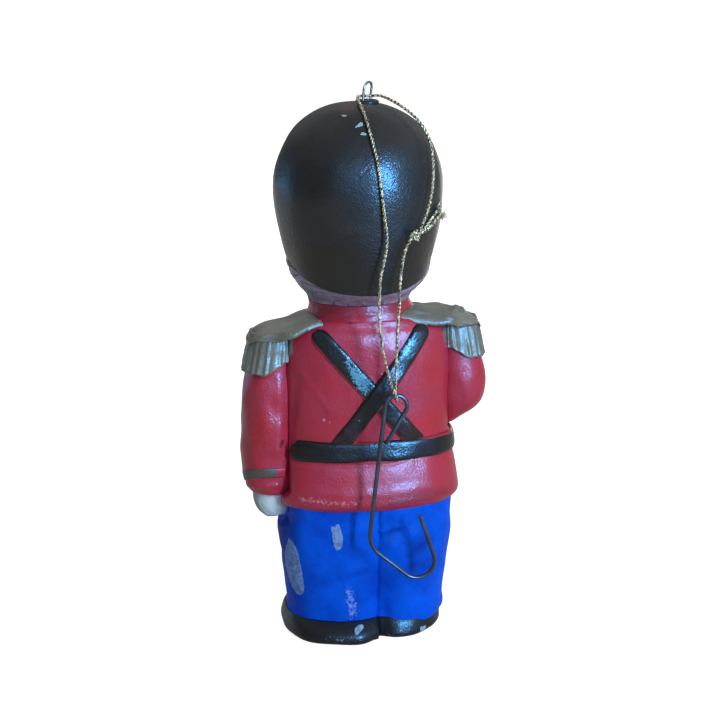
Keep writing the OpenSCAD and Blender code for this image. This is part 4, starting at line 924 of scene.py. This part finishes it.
# how far out, the height as a share of the thickness, and the half depth as a share
pad_rows = [(mix(collar_foot + 0.1, ARM_PLANE, r[0]), r[1], r[2]) for r in
            [(0, 0.5, 0.94), (0.35, 0.5, 0.97), (0.7, 0.55, 0.98)]]
pad_rows += [(mix(ARM_PLANE, PAD_OUT, r[0]), r[1], r[2]) for r in
             [(0, 0.64, 0.98), (0.3, 0.8, 1), (0.55, 0.86, 0.98), (0.76, 0.6, 0.9), (0.9, 0.2, 0.78),
              (1, -0.2, 0.6)]]
x = mix(collar_foot - 1.0, PAD_OUT, 1 - (1 - np.linspace(0, 1, 90)) ** 1.4)[:, None]
clear_of_neck, clear_of_tunic = ease((x - collar_foot) / 5), ease((x - ARM_PLANE) / 4)
inner = np.clip(x, collar_foot + 0.1, PAD_OUT)
outer_half = SLEEVE_D / 2 * 0.99 * np.clip((PAD_OUT + 0.02 - x) / 5, 0, 1) ** 0.25
half = mix(read(pad_rows, inner, 2) * PAD_D / 2 * BOARD_WIDER, outer_half, ease((x - ARM_PLANE + 1) / 5))
y = half * signed(np.cos(around), 0.8)
rise = np.maximum(0, np.sin(around)) ** 0.85
drape = np.where(y < 0, FRONT_DRAPE * (y / 9) ** 2, BACK_DRAPE * (y / 9.5) ** 4) * (1 - clear_of_tunic)
round_neck = collar_foot * (1 - np.sqrt(np.maximum(0, 1 - (y / NECK_ROUND) ** 2))) * (1 - clear_of_neck)


def shoulder_board(name, side, climb, wrap, inwards, lip):
    """A board that climbs the neck, wraps round it and reaches in to the spine by its own amounts"""
    ground = shoulder_height(x - inwards * (1 - clear_of_neck))
    high = (ground + read(pad_rows, inner, 1) * PAD_T * (0.35 + 0.65 * clear_of_neck)
            + climb * (1 - ease((x - collar_foot + 1.0) / 8)))
    low = np.minimum(mix(ground - 0.3, SLEEVE_TOP_Z + 1.7, ease((x - ARM_PLANE) / 3)), high - 0.4)
    z = mix(low, high, rise) - 0.5 * (np.sin(around) < 0) - drape + lip * (1 - clear_of_neck) * ease(y / 6)
    rings = places(x - wrap * round_neck - inwards * (1 - clear_of_neck), y, z)
    return cast(name, tilted(rings * [side, 1, 1]), pewter)


left_pad = shoulder_board("left_epaulette_board", 1, 0.2, 0.3, 0.0, 0.2)
right_pad = shoulder_board("right_epaulette_board", -1, 0.95, 1.0, 1.0, 0.8)
press(left_pad, [([(264, 323), (290, 319), (308, 312)], 4, -0.12),
                 ([(262, 336), (296, 331), (320, 321)], 2, 0.2)], 0.05, 6, 81)
press(right_pad, [
    ([(409, 309), (418, 311.7), (431.5, 313.8), (443.4, 315.6), (454.6, 319.5), (465, 322.6), (472, 323.7)],
     1.5, 0.3),
    ([(454, 310), (461, 312)], 3.4, 1.25), ([(459, 312), (461.5, 313)], 1.4, -0.9),
    ([(445, 329), (456, 331), (474, 330)], 3.5, 0.4), ([(420, 307), (440, 310)], 3, -0.2)], 0.05, 6, 82)
# Painted highlights: a pale band along the lower edge of each board
mark(left_pad, "wear", [(262, 334), (296, 328), (320, 318), (323, 322), (309, 330), (296, 337), (264, 340)],
     soft=5, full=0.62)
mark(right_pad, "wear", [(412, 310), (436, 320), (452, 324), (452, 328), (430, 326), (411, 317)],
     soft=5, full=0.5)
for piece, node in ((left_pad, "left_epaulette"), (right_pad, "right_epaulette")):
    belong(piece, node)

# ---- Fringes ----
# A fringe of bullion cords hangs from each board round the top of the sleeve, moulded as a fluted
# skirt and brushed with the same paint. The paint ends raggedly on the tunic.
FRINGE_H, FRINGE_T, FRINGE_TUCK, FRINGE_RISE, FLUTE, FLUTES = 6.0, 1.1, 2.4, 2.6, 0.45, 15
cords, size = new_growth("fringe_cords", Cords=FLUTES, Depth=0.4, Lean=0.0)
share, down = stored(cords, "around"), stored(cords, "down")
sway = add(cords, "ShaderNodeTexNoise", W=share * 9, Scale=1.0, noise_dimensions="1D")
phase = (share * size["Cords"] + (sway - 0.5) * 0.7 + down * size["Lean"]) * math.pi
ridge = phase.math("COSINE") ** 2.0
outer_side = down.math("CEIL") * down.math("LESS_THAN", 0.96)
furrow = ridge * size["Depth"] * -1.0 * (down * 0.8 + 0.2) * outer_side
end_growth(cords, size, pushed(cords, size["Geometry"], furrow))
steps = np.linspace(-1, 1, FLUTES * 12 + 1)
a = np.radians(steps * ARM_OPEN)
drop = np.concatenate([np.linspace(0, 1, 22), [1.0, 0.6, 0.0]])
reach = np.concatenate([mix(0.35, 1.0, np.linspace(0, 1, 22) ** 0.7), [-0.3, -0.3, -0.3]])
outside = np.where(reach > 0, np.maximum(drop, 0.02), 0)
for name, rows, mirror, seed in (("left_fringe", left_arm, np.ones(3), 91),
                                 ("right_fringe", right_arm, MIRROR, 92)):
    uneven = np.random.default_rng(seed).normal(size=len(steps))
    uneven = np.convolve(uneven, np.hanning(17) / 17, "same")
    uneven += 0.18 * np.abs(np.sin(steps * FLUTES / 2 * math.pi))
    bottom = SLEEVE_TOP_Z - FRINGE_H - uneven * 0.8 + FRINGE_RISE * ease((np.abs(a) - 1.2) / 0.8)
    rings = np.stack([arm_points(rows, mix(SLEEVE_TOP_Z + FRINGE_TUCK, bottom, d), a, r * FRINGE_T)
                      for d, r in zip(drop, reach)], 1)
    base = cast(name + "_base", tilted(rings * mirror), pewter, down=outside[None],
                around=(steps[:, None] + 1) / 2)
    piece = grow(name + "_cords", base.data, cords, pewter, Cords=FLUTES, Depth=0.75 * FLUTE * MM, Lean=0.25)
    bpy.data.objects.remove(base)
    press(piece, [], 0.06, 3, seed)
    belong(piece, name)

# ---- Cross straps ----
# Crossed shoulder straps, moulded a little proud of the tunic back and front. The black paint lies
# off the moulding, so that its lower edge shows as a red ridge, and turns brown where it is thin.
STRAP_SKEW, BELT_H, BELT_RISE = 1.0, 5.0, 0.6
STRAP_TOP_X, STRAP_TOP_Z = 0.56 * CHEST_W / 2, COLLAR_Z - 0.4 * STRAP_W
PAINT_HALF, PAINT_EDGE = 1.92, 1.2
# The pale blue colour is the painted highlight of the straps
strap_black = enamel("strap_black", hue(152, 36, 50), over=hue(15, 15, 18), gloss=0.36, coat=0.5, vary=0.12,
                     bare_and_highlight=(100, 194, 255), wobble=0.22, seed=33.0)
profile = band_profile(29)


def strap(name, side, face, on_top, shift):
    """One strap from its shoulder to the belt, its round upper end first"""
    top_x = side * STRAP_TOP_X + 0.6 * STRAP_SKEW - 0.5 * (side * face > 0)
    top = np.array([top_x, STRAP_TOP_Z - STRAP_W / 2])
    foot = np.array([-side * STRAP_FOOT_X - 1.2 * STRAP_SKEW, WAIST_Z + face * BELT_RISE + BELT_H / 2 - 1.6])
    run = np.linalg.norm(foot - top)
    d = (foot - top) / run
    longer = 0.9 if on_top else 0.4
    top, run = top - d * longer, run + longer
    s = np.concatenate([np.linspace(0, 0.1, 16) ** 2 * 10, np.linspace(0.105, 1, 120)])[:, None]
    along = s * (run + STRAP_W / 2) - STRAP_W / 2
    past = np.maximum(0, -along) / (STRAP_W / 2)
    half = STRAP_W / 2 * np.maximum(0.12, np.sqrt(np.maximum(0, 1 - past ** 2)))
    t, h = profile[:, 0][None], profile[:, 1][None]
    p = top + d * along[..., None] + np.array([-d[1], d[0]]) * (t * half)[..., None]
    climb = STRAP_LAYER * np.exp(-((s - 0.5) / 0.17) ** 4) if on_top else 0
    proud = h * STRAP_T * (1 - 0.6 * ease((s - 0.88) / 0.12)) + climb
    x, z = p[..., 0], p[..., 1]
    rings = tilted(places(x, face * (tunic_reach(x, z, face) + proud), z))
    across = (t * half + shift) * np.ones_like(s)
    edge_of_paint = PAINT_HALF - np.hypot(across, np.maximum(0, -(along + 0.4)))
    piece = cast(name, rings, strap_black, paint=np.clip(0.5 + edge_of_paint / PAINT_EDGE, 0, 1),
                 thin=ease((s - 0.66) / 0.2) * 0.3 * np.ones_like(t))
    press(piece, [], 0.05, 5, 101)
    return piece


straps = {}
for name, side, face, on_top, shift in (("cross_strap_over", -1, 1, True, -0.25),
                                        ("cross_strap_under", 1, 1, False, 0.25),
                                        ("front_strap_over", 1, -1, True, 0.2),
                                        ("front_strap_under", -1, -1, False, -0.2)):
    straps[name] = strap(name + "_leather", side, face, on_top, shift)
    belong(straps[name], name)
# Painted highlights: pale blue speckled patches on both back straps
mark(straps["cross_strap_over"], "wear", [(399, 352), (403, 343), (409, 337.5), (415, 337), (418, 342),
                                          (413, 352), (406, 361), (400, 365), (398, 358)], soft=5, full=0.82)
mark(straps["cross_strap_under"], "wear", [(341, 360), (348, 354), (358, 366), (372, 378), (374, 390),
                                           (364, 400), (353, 388), (347, 374)], soft=6, full=0.8)

# ---- Belt ----
# The waist belt, moulded as a low band that stops each side of the left arm. Its black paint wavers
# along both edges.
BELT_FROM, BELT_HALF = 30, BELT_H / 2 - 0.1
a = np.radians(np.linspace(BELT_FROM, 360 - BELT_FROM, 300))[:, None]
u = np.linspace(0, 1, 300)[:, None]
past = np.maximum(0, np.abs(u - 0.5) - 0.5 + 0.03) / 0.03
half = BELT_HALF * np.maximum(0.2, np.sqrt(np.maximum(0, 1 - past ** 2)))
t, h = profile[:, 0][None], profile[:, 1][None]
z = WAIST_Z + BELT_RISE * np.sin(a) - 0.2 + t * half
belt_points = mix(section(skirt_rows, WAIST_Z - BELT_H / 2 + 0 * z, a, h * STRAP_T),
                  section(torso_rows, WAIST_Z + BELT_H / 2 + 0 * z, a, h * STRAP_T),
                  ((z - WAIST_Z) / BELT_H + 0.5)[..., None])
belt_points[..., 2] = z
waver = sum(0.14 * np.sin(k * a * 2.3 + k * k) for k in range(1, 6))
short_of_top = 1.3 * np.maximum(t, 0) * ease(-belt_points[..., 0] / 6 - 1.7) * (belt_points[..., 1] > 0)
edge_of_paint = BELT_HALF + waver - np.abs(t * half) - short_of_top
belt_black = enamel("belt_black", hue(152, 36, 50), over=hue(11, 11, 13), gloss=0.36, coat=0.4, vary=0.12,
                    bare_and_highlight=(120, 140, 170), wobble=0.2, seed=37.0)
belt = cast("belt_leather", belt_points, belt_black, paint=np.clip(0.5 + edge_of_paint / PAINT_EDGE, 0, 1))
press(belt, [], 0.05, 6, 111)
belong(belt, "belt")

# ---- Buckle and buttons ----
# A plain square buckle on the belt and a row of domed buttons down the front, moulded with the
# tunic and picked out in pewter paint.
BUCKLE_W, BUCKLE_PROUD, BUTTONS, BUTTON_R = 6.4, 0.35, 3, 0.95
buckle_face = -(WAIST_D / 2 + STRAP_T + BUCKLE_PROUD)
frame_w = BUCKLE_W / 6
outer = np.array([BUCKLE_W / 2, (BELT_H + frame_w) / 2])
inner = outer - frame_w
corners = np.radians(np.arange(0, 360, 5))
square = signed(np.stack([np.cos(corners), np.sin(corners)], -1), 0.25)
rings = []
for size_at, y in ((inner * 0.96, 0.35), (inner, 0.05), (inner + 0.15, -0.22),
                   (mix(inner, outer, 0.5), -0.36), (outer - 0.15, -0.25), (outer, 0.05), (outer, 0.6)):
    x, z = (square * size_at).T
    rings.append(places(x, buckle_face + y, WAIST_Z - BELT_RISE + z))
buckle = cast("belt_buckle_plate", np.array(rings), pewter)
press(buckle, [], 0.03, 2, 121)

dots, size = new_growth("domed_buttons", Radius=0.9, Height=0.5, Sides=28)
dome = add(dots, "GeometryNodeMeshUVSphere", Segments=size["Sides"], Rings=14, Radius=size["Radius"])
dome = add(dots, "GeometryNodeTransform", Geometry=dome,
           Scale=add(dots, "ShaderNodeCombineXYZ", 1.0, size["Height"] / size["Radius"], 1.0))
end_growth(dots, size, add(dots, "GeometryNodeInstanceOnPoints", Points=size["Geometry"], Instance=dome))
lowest = mix(WAIST_Z - BELT_RISE + BELT_H / 2 + 0.05, STRAP_TOP_Z, 0.68)
button_rows = [mix(lowest, COLLAR_Z - COLLAR_H, k / (BUTTONS - 1)) for k in range(BUTTONS)]
button_points = bpy.data.meshes.new("buttons")
button_points.from_pydata([(0, float(-tunic_reach(0, z, -1)) * MM, z * MM) for z in button_rows], [], [])
buttons = grow("tunic_buttons_domed", button_points, dots, pewter, Radius=BUTTON_R * MM, Height=0.5 * MM)
for piece, node in ((buckle, "belt_buckle"), (buttons, "tunic_buttons")):
    belong(piece, node)

# ---- Head ----
# A round doll's head under the hat, cast with the figure and painted by hand, with a small nose and
# a plain face.
HEAD_W, HEAD_D, HEAD_Z, HAIR_T = 31.0, 30.0, COLLAR_Z + COLLAR_H, 1.1
HAT_W, HAT_D, HAT_H, BELLY_H = 37.2, 37.0, 39.5, 20.5
RIM_Z, RIM_INSET, RIM_RISE, RIM_LIFT = HEAD_Z + 3.5, 2.9, 7.2, 1.9
RIM_D, CROWN_Z = HAT_D - 2 * RIM_INSET, RIM_Z + HAT_H


def rim_height(y):
    """The height of the hat's rim, which falls from the brow to the nape"""
    return RIM_Z + RIM_RISE / 2 - RIM_RISE / RIM_D * y


def head_points(a, s, grow_by):
    """Places on the head: round it by an angle, and up it by a share from collar to rim"""
    swell = (1 - np.cos(math.pi * np.clip(s, 0, 1) ** 0.85)) / 2
    w, d = mix(NECK_W, HEAD_W, swell) / 2 + grow_by, mix(NECK_D, HEAD_D, swell) / 2 + grow_by
    z = mix(HEAD_Z, rim_height((HEAD_D / 2 + grow_by) * np.sin(a)) + RIM_LIFT * np.abs(np.cos(a)) ** 3, s)
    w = w + 0.6 * ease(s / 0.5) * np.abs(np.cos(a)) ** 3
    return places(HEAD_OFF + w * np.cos(a), d * np.sin(a), z)


s = np.linspace(-0.1, 1.02, 60)[:, None]
a = np.radians(np.arange(0, 360, 1.0))[None]
rings = head_points(a, s, -HAIR_T - 0.1)
fx, fz = rings[..., 0] - HEAD_OFF, rings[..., 2]
front = ease((-rings[..., 1] - 4) / 4)


def bump(x0, z0, rx, rz, tall):
    """A soft swelling or hollow of the face, the same on both sides"""
    return tall * np.exp(-((np.abs(fx) - x0) / rx) ** 2 - ((fz - z0) / rz) ** 2) * front


face = (bump(0, 82.2, 1.3, 1.5, 1.7) + bump(0, 83.9, 0.9, 1.6, 0.5) + bump(0, 78.3, 2.6, 1.1, 0.8)
        + bump(0, 80.1, 1.9, 0.45, 0.35) - bump(0, 79.6, 2.2, 0.22, 0.3) + bump(0, 79.2, 1.7, 0.4, 0.3)
        - bump(3.4, 85, 1.7, 1.0, 0.55) + bump(3.4, 85, 1.1, 0.7, 0.35) + bump(5.4, 81.6, 2.3, 1.8, 0.6)
        + bump(3.5, 86.5, 2.2, 0.45, 0.25) - bump(0.75, 81.3, 0.3, 0.3, 0.25))
rings[..., 1] -= face

skin_paint, tree, place = new_finish("skin_paint")
flush = cloud(place, 4, 3, 41.0)
skin = blend(flush, hue(214, 158, 128), hue(232, 182, 152))
for label, colour, share in (("blush", (206, 92, 78), 0.55), ("lips", (168, 52, 50), 0.9),
                             ("white", (232, 230, 222), 1.0), ("iris", (58, 84, 120), 1.0),
                             ("dark", (36, 26, 24), 1.0)):
    skin = blend(stored(tree, label) * share, skin, hue(*colour))
surface(tree, (cloud(place, 0.42, 2.5, 43.0) * 0.014 + cloud(place, 1.9, 1, 44.0) * 0.014) * MM,
        Base_Color=skin, Roughness=flush * 0.1 + 0.33, Coat_Weight=0.3, Coat_Roughness=0.16)


def spot(x0, z0, rx, rz, soft=0.25):
    """A painted oval of the face, the same on both sides"""
    return ease((1 - np.hypot((np.abs(fx) - x0) / rx, (fz - z0) / rz)) / soft + 0.5) * (rings[..., 1] < 0)


def arc(x0, z0, half, sag, thick):
    """A painted stroke of the face that bows up by its sag"""
    off = np.abs(fx) - x0
    return (ease((thick - np.abs(fz - z0 - sag * (1 - (off / half) ** 2))) / 0.14 + 0.5)
            * (np.abs(off) < half) * (rings[..., 1] < 0))


head = cast("head_skin", rings, skin_paint, blush=spot(5.6, 81.4, 2.6, 1.8, 1.4) * 0.7,
            lips=spot(0, 79.75, 1.5, 0.42), white=spot(3.4, 85, 1.15, 0.62),
            iris=spot(3.35, 85, 0.55, 0.58),
            dark=np.maximum.reduce([spot(3.35, 85, 0.26, 0.28), arc(3.4, 85.3, 1.4, 0.38, 0.13),
                                    arc(3.5, 86.6, 1.7, 0.35, 0.22), arc(0, 79.75, 1.5, -0.1, 0.06)]))
belong(head, "head")

# ---- Hair ----
# A band of moulded hair from ear to ear round the back, combed in slanting locks and painted a dull
# mauve grey.
HAIR_FROM, HAIR_TO, LOCKS, LOCK_GROOVE, LOCK_SLANT = -12, 192, 10, 0.6, 2.2
HAIR_COLUMNS, HAIR_ROWS = 420, 36
locks, size = new_growth("hair_locks", Locks=13, Groove=0.3, Slant=0.5)
share, rise_up = stored(locks, "around"), stored(locks, "up")
sway = add(locks, "ShaderNodeTexNoise", W=share * 7, Scale=1.0, noise_dimensions="1D")
phase = share * size["Locks"] + (sway - 0.5) * 1.6 + (rise_up ** 1.6) * size["Slant"]
groove = (phase * math.pi).math("SINE").math("ABSOLUTE").math("POWER", 0.3)
fine = (phase * math.pi * 3.0).math("SINE").math("ABSOLUTE")
cut = (1 - groove) * size["Groove"] + (1 - fine) * size["Groove"] * 0.18
grooved = pushed(locks, size["Geometry"], cut * -1.0 * rise_up.math("CEIL"))
end_growth(locks, size, add(locks, "GeometryNodeStoreNamedAttribute", Geometry=grooved, Name="groove",
                            Value=1 - groove, data_type="FLOAT", domain="POINT"))
a = np.radians(np.linspace(HAIR_TO, HAIR_FROM, HAIR_COLUMNS))
up = np.concatenate([np.linspace(-0.12, 1.02, HAIR_ROWS), [1.02, 0.5, -0.12]])
grown = np.concatenate([np.zeros(HAIR_ROWS), [-HAIR_T, -HAIR_T - 0.2, -HAIR_T]])
round_edge = np.concatenate([-0.5 * (1 - ease(np.linspace(0, 1, HAIR_ROWS) * 8)), np.zeros(3)])
rings = np.stack([head_points(a, s, g + e) for s, g, e in zip(up, grown, round_edge)], 1)
hair_paint, tree, place = new_finish("hair_paint")
strand = cloud(place, 1.4, 3, 51.0)
colour = blend(step_at(strand, 0.5, 0.25), hue(124, 116, 146), hue(166, 160, 192))
# Painted shade darkens the grooves between the locks
colour = blend(step_at(stored(tree, "groove"), 0.5, 0.3) * 0.6, colour, hue(58, 50, 70))
surface(tree, (cloud(place, 0.42, 2.5, 52.0) * 0.018 + cloud(place, 1.6, 1, 53.0) * 0.02) * MM,
        Base_Color=colour, Roughness=strand * 0.12 + 0.36, Coat_Weight=0.25, Coat_Roughness=0.18)
base = cast("hair_base", rings, hair_paint, around=np.linspace(0, 1, HAIR_COLUMNS)[:, None],
            up=np.where(grown == 0, np.clip(up, 0.02, 1), 0)[None])
hair = grow("hair_locks_moulded", base.data, locks, hair_paint, Locks=LOCKS, Groove=LOCK_GROOVE * MM,
            Slant=LOCK_SLANT)
bpy.data.objects.remove(base)
press(hair, [], 0.05, 4, 131)
belong(hair, "hair")

# ---- Hat ----
# A tall bearskin, cast smooth and painted gloss black, with a darker, browner black painted low down as
# shade. It bulges above the rim, and the rim dips from the brow to the nape.
DOME_SQUARE = 2.2
hat_shape, size = new_growth("bearskin", Width=37.2, Depth=37.0, Crown=120.0, Belly=100.5, Rim=84.0, Fall=0.2,
                             Rim_depth=31.0, Inset=0.15, Shift=1.3, Lift=1.9, Around=340, Up=200)
sheet = add(hat_shape, "GeometryNodeMeshGrid", Size_X=1.0, Size_Y=1.0, Vertices_X=size["Around"],
            Vertices_Y=size["Up"])
uv = add(hat_shape, "ShaderNodeSeparateXYZ", add(hat_shape, "GeometryNodeInputPosition"))
angle = (uv.pick("X") + 0.5) * math.tau
climb = uv.pick("Y") + 0.5
cosine, sine = angle.math("COSINE"), angle.math("SINE")
low = size["Rim"] - size["Fall"] * size["Rim_depth"] * 0.5 * sine
low = low + size["Lift"] * cosine.math("ABSOLUTE") ** 3.0
under = (climb * 2.0).math("MINIMUM", 1.0)
quarter = (climb * 2.0 - 1.0).math("MAXIMUM", 0.0) * (math.pi / 2)
dome_z = size["Belly"] + (size["Crown"] - size["Belly"]) * quarter.math("SINE") ** (2 / DOME_SQUARE)
dome_r = quarter.math("COSINE").math("MAXIMUM", 0.0) ** (2 / DOME_SQUARE)
side_z = low + (size["Belly"] - low) * under
side_r = 1 - size["Inset"] * (1 - under) ** 1.7
on_dome = climb.math("GREATER_THAN", 0.5)
high = side_z + (dome_z - side_z) * on_dome
wide = side_r + (dome_r - side_r) * on_dome
shell = add(hat_shape, "GeometryNodeSetPosition", Geometry=sheet, Position=add(
    hat_shape, "ShaderNodeCombineXYZ", size["Shift"] + size["Width"] * 0.5 * wide * cosine,
    size["Depth"] * 0.5 * wide * sine, high))
end_growth(hat_shape, size, add(hat_shape, "GeometryNodeMergeByDistance", Geometry=shell, Distance=0.00002))
# The second, browner black is painted shade for the lower hat
hat_black = enamel("hat_black", hue(35, 36, 35), over=hue(25, 24, 17), tint=hue(22, 30, 38), coat=0.45,
                   vary=0.35, bare_and_highlight=(180, 228, 255), dirt_and_shade=(104, 52, 62), seed=61.0)
hat = grow("bearskin_shell", bpy.data.meshes.new("empty"), hat_shape, hat_black, Width=HAT_W * MM,
           Depth=HAT_D * MM, Crown=CROWN_Z * MM, Belly=(RIM_Z + BELLY_H) * MM,
           Rim=(RIM_Z + RIM_RISE / 2) * MM, Fall=RIM_RISE / RIM_D, Rim_depth=RIM_D * MM,
           Inset=2 * RIM_INSET / HAT_W, Shift=HEAD_OFF * MM, Lift=RIM_LIFT * MM)
work = bmesh.new()
work.from_mesh(hat.data)
bmesh.ops.remove_doubles(work, verts=work.verts, dist=0.00003)
rim = [e for e in work.edges if e.is_boundary]
for inwards, drop_by in ((0.03, 0.225), (0.1, 0.25), (0.2, -0.5)):
    made = bmesh.ops.extrude_edge_only(work, edges=rim)["geom"]
    for v in (g for g in made if isinstance(g, bmesh.types.BMVert)):
        v.co.x -= (v.co.x - HEAD_OFF * MM) * inwards
        v.co.y -= v.co.y * inwards
        v.co.z -= drop_by * MM
    rim = [g for g in made if isinstance(g, bmesh.types.BMEdge) and g.is_boundary]
bmesh.ops.holes_fill(work, edges=rim)
bmesh.ops.recalc_face_normals(work, faces=work.faces)
work.to_mesh(hat.data)
work.free()
hat.data.shade_smooth()
press(hat, [([(358, 179), (363, 174), (368, 168)], 0.8, -0.12),
            ([(322, 290), (350, 296), (390, 292)], 3, 0.15)], 0.07, 9, 141)
mark(hat, "chip", [(354.4, 128.1), (357, 124.9), (360.4, 122.2), (363, 122.7), (363, 126), (358, 127)],
     [(359.3, 134.7), (362.5, 132), (367.4, 133.6), (365.8, 135.7)],
     [(341, 114.6), (346.5, 115), (346, 117), (342, 116.4)], soft=1.2)
# Painted shade: the darker black below where the sheen reaches
mark(hat, "paint", [(266, 248), (300, 240), (330, 246), (356, 232), (392, 240), (422, 228), (446, 236),
                    (446, 310), (266, 310)], soft=16)
mark(hat, "grime", [(340, 107), (346, 105), (353, 108), (352, 112), (342, 113)], soft=4, full=0.35)
mark(hat, "wear", [(306, 222), (322, 218), (326, 230), (310, 232)],
     [(338, 238), (352, 236), (354, 246), (340, 248)],
     [(384, 225), (400, 222), (404, 240)], soft=10, full=0.3)
belong(hat, "hat")

# ---- Hanging eye ----
# A round plug closes the pouring hole in the crown and is painted with the hat. A hairpin of steel
# wire stands in it, a little turned, and the thread goes through it.
EYE_X, EYE_TURN, EYE_WIRE_R, EYE_W, EYE_H = HEAD_OFF - 1.9, 44, 0.27, 2.2, 3.4
PLUG_R, PLUG_T, HAIRPIN_DEPTH = 2.7, 0.8, 2
plug_z = mix(rim_height(0), CROWN_Z, 0.995)
a = np.radians(np.arange(0, 360, 7.5))
rings = [places(EYE_X + r * np.cos(a), r * np.sin(a), plug_z + h) for r, h in
         ((1.7, -3), (1.85, -0.5), (2.6, -0.35), (PLUG_R, 0.0), (PLUG_R - 0.12, 0.32), (PLUG_R - 0.45, 0.52),
          (1.6, 0.6), (0.5, 0.62))]
plug_black = enamel("plug_black", hue(30, 31, 33), gloss=0.4, vary=0.3, seed=71.0)
plug = cast("crown_plug", np.array(rings), plug_black)
press(plug, [], 0.05, 2, 151)
bend_r = (EYE_W + 2 * EYE_WIRE_R) / 2
bend_z = plug_z + PLUG_T + 0.05 + EYE_H - bend_r
turn, leg_z = math.radians(EYE_TURN), np.linspace(plug_z - HAIRPIN_DEPTH, bend_z, 21)
hairpin = [(-bend_r, z) for z in leg_z[:-1]]
hairpin += [(-bend_r * math.cos(f), bend_z + bend_r * math.sin(f)) for f in np.linspace(0, math.pi, 28)]
hairpin += [(bend_r, z) for z in leg_z[-2::-1]]
eye_line = [(EYE_X + x * math.cos(turn) - 0.3 * max(0, (z - plug_z) / EYE_H) ** 2, x * math.sin(turn), z)
            for x, z in hairpin]
eye_steel, tree, place = new_finish("eye_steel")
rub = cloud(place, 1.2, 3, 81.0)
steel = blend(rub, hue(96, 100, 98), hue(172, 176, 170))
surface(tree, cloud(place, 0.3, 2, 82.0) * 0.01 * MM, Base_Color=steel, Metallic=0.95,
        Roughness=rub * 0.2 + 0.18)
eye = grow("hanging_eye_wire", lines_mesh("hanging_eye_wire", [eye_line]), tube, eye_steel,
           Radius=EYE_WIRE_R * MM, Sides=18)
for piece, node, slot in ((plug, "hanger_plug", "plug_black"), (eye, "hanger_eye", "eye_wire")):
    belong(piece, node)

# ---- Floor and light ----
# A white floor that keeps a faint shadow, in soft daylight from behind the camera's right. The tall
# window is seen only in the gloss, where it gives the blue streaks.
FLOOR_REACH, FLOOR_GLOW, FLOOR_IN_GLOSS = 6.0, 0.89, 0.08
floor_white, tree, _ = new_finish("floor_white")
rays = add(tree, "ShaderNodeLightPath")
seen = (rays.pick("Is Camera Ray") + rays.pick("Is Transmission Ray")).math("MINIMUM", 1.0)
seen = seen.math("MAXIMUM", rays.pick("Is Glossy Ray") * FLOOR_IN_GLOSS)
paper = add(tree, "ShaderNodeBsdfDiffuse", Color=(0.42, 0.42, 0.42, 1))
glow = add(tree, "ShaderNodeEmission", Color=(1, 1, 1, 1), Strength=seen * FLOOR_GLOW)
add(tree, "ShaderNodeOutputMaterial", Surface=add(tree, "ShaderNodeAddShader", paper, glow))
mesh = bpy.data.meshes.new("floor")
mesh.from_pydata([(x * FLOOR_REACH, y * FLOOR_REACH, 0) for x, y in ((-1, -1), (1, -1), (1, 1), (-1, 1))],
                 [], [(0, 1, 2, 3)])
place_mesh("floor", mesh, floor_white)

world = bpy.data.worlds.new("daylight")
world.use_nodes = True
bpy.context.scene.world = world
tree = world.node_tree
tree.nodes.clear()
rays = add(tree, "ShaderNodeLightPath")
aim = add(tree, "ShaderNodeSeparateXYZ", add(tree, "ShaderNodeTexCoord").pick("Generated"))
pale_side = step_at(aim.pick("X") * -1 + aim.pick("Y") * 0.2, 0.35, 0.6)
in_gloss = rays.pick("Is Glossy Ray")  # the world is white to the camera, dim and one-sided to the rest
shine = pale_side * 0.2 + 0.05 + step_at(aim.pick("Z"), 0.25, 0.45) * 0.3
seen = (rays.pick("Is Camera Ray") + rays.pick("Is Transmission Ray")).math("MINIMUM", 1.0)
seen = seen + (1 - seen) * (in_gloss * shine + (1 - in_gloss) * (pale_side * 0.36 + 0.25))
sky = add(tree, "ShaderNodeBackground", Color=(1, 1, 1, 1), Strength=seen)
add(tree, "ShaderNodeOutputWorld", Surface=sky)


def lamp(name, azimuth, elevation, distance, wide, tall, power, colour, gloss_only=False, no_gloss=False):
    """A soft lamp aimed at the soldier"""
    light = bpy.data.lights.new(name, "AREA")
    light.shape, light.size, light.size_y = "RECTANGLE", wide, tall
    light.energy, light.color = power, colour
    thing = bpy.data.objects.new(name, light)
    way = towards(azimuth, elevation)
    stand(thing, AIM + way * distance, way)
    thing.visible_camera = False
    thing.visible_diffuse = not gloss_only
    thing.visible_glossy = not no_gloss


# azimuth, elevation, distance, width, height, watts, colour
lamp("window", 207, 15, 0.9, 0.19, 0.34, 24, (0.11, 0.44, 1.0), gloss_only=True)
lamp("bright_sky", 196, 20, 0.9, 1.5, 0.36, 4.5, (0.25, 0.55, 1.0), gloss_only=True)
lamp("daylight", 207, 24, 1.2, 0.13, 0.9, 9.5, (1.0, 0.97, 0.94), no_gloss=True)
lamp("side_glow", 52, -20, 0.9, 0.24, 0.8, 2.8, (0.08, 0.5, 1.0), gloss_only=True)
lamp("rim_glow", 325, 0, 0.35, 0.09, 0.11, 0.045, (0.98, 1.0, 0.88), gloss_only=True)
lamp("front_fill", 5, 30, 1.0, 0.7, 0.7, 7, (1.0, 0.99, 0.97), no_gloss=True)

bpy.context.scene.view_settings.view_transform = "Standard"
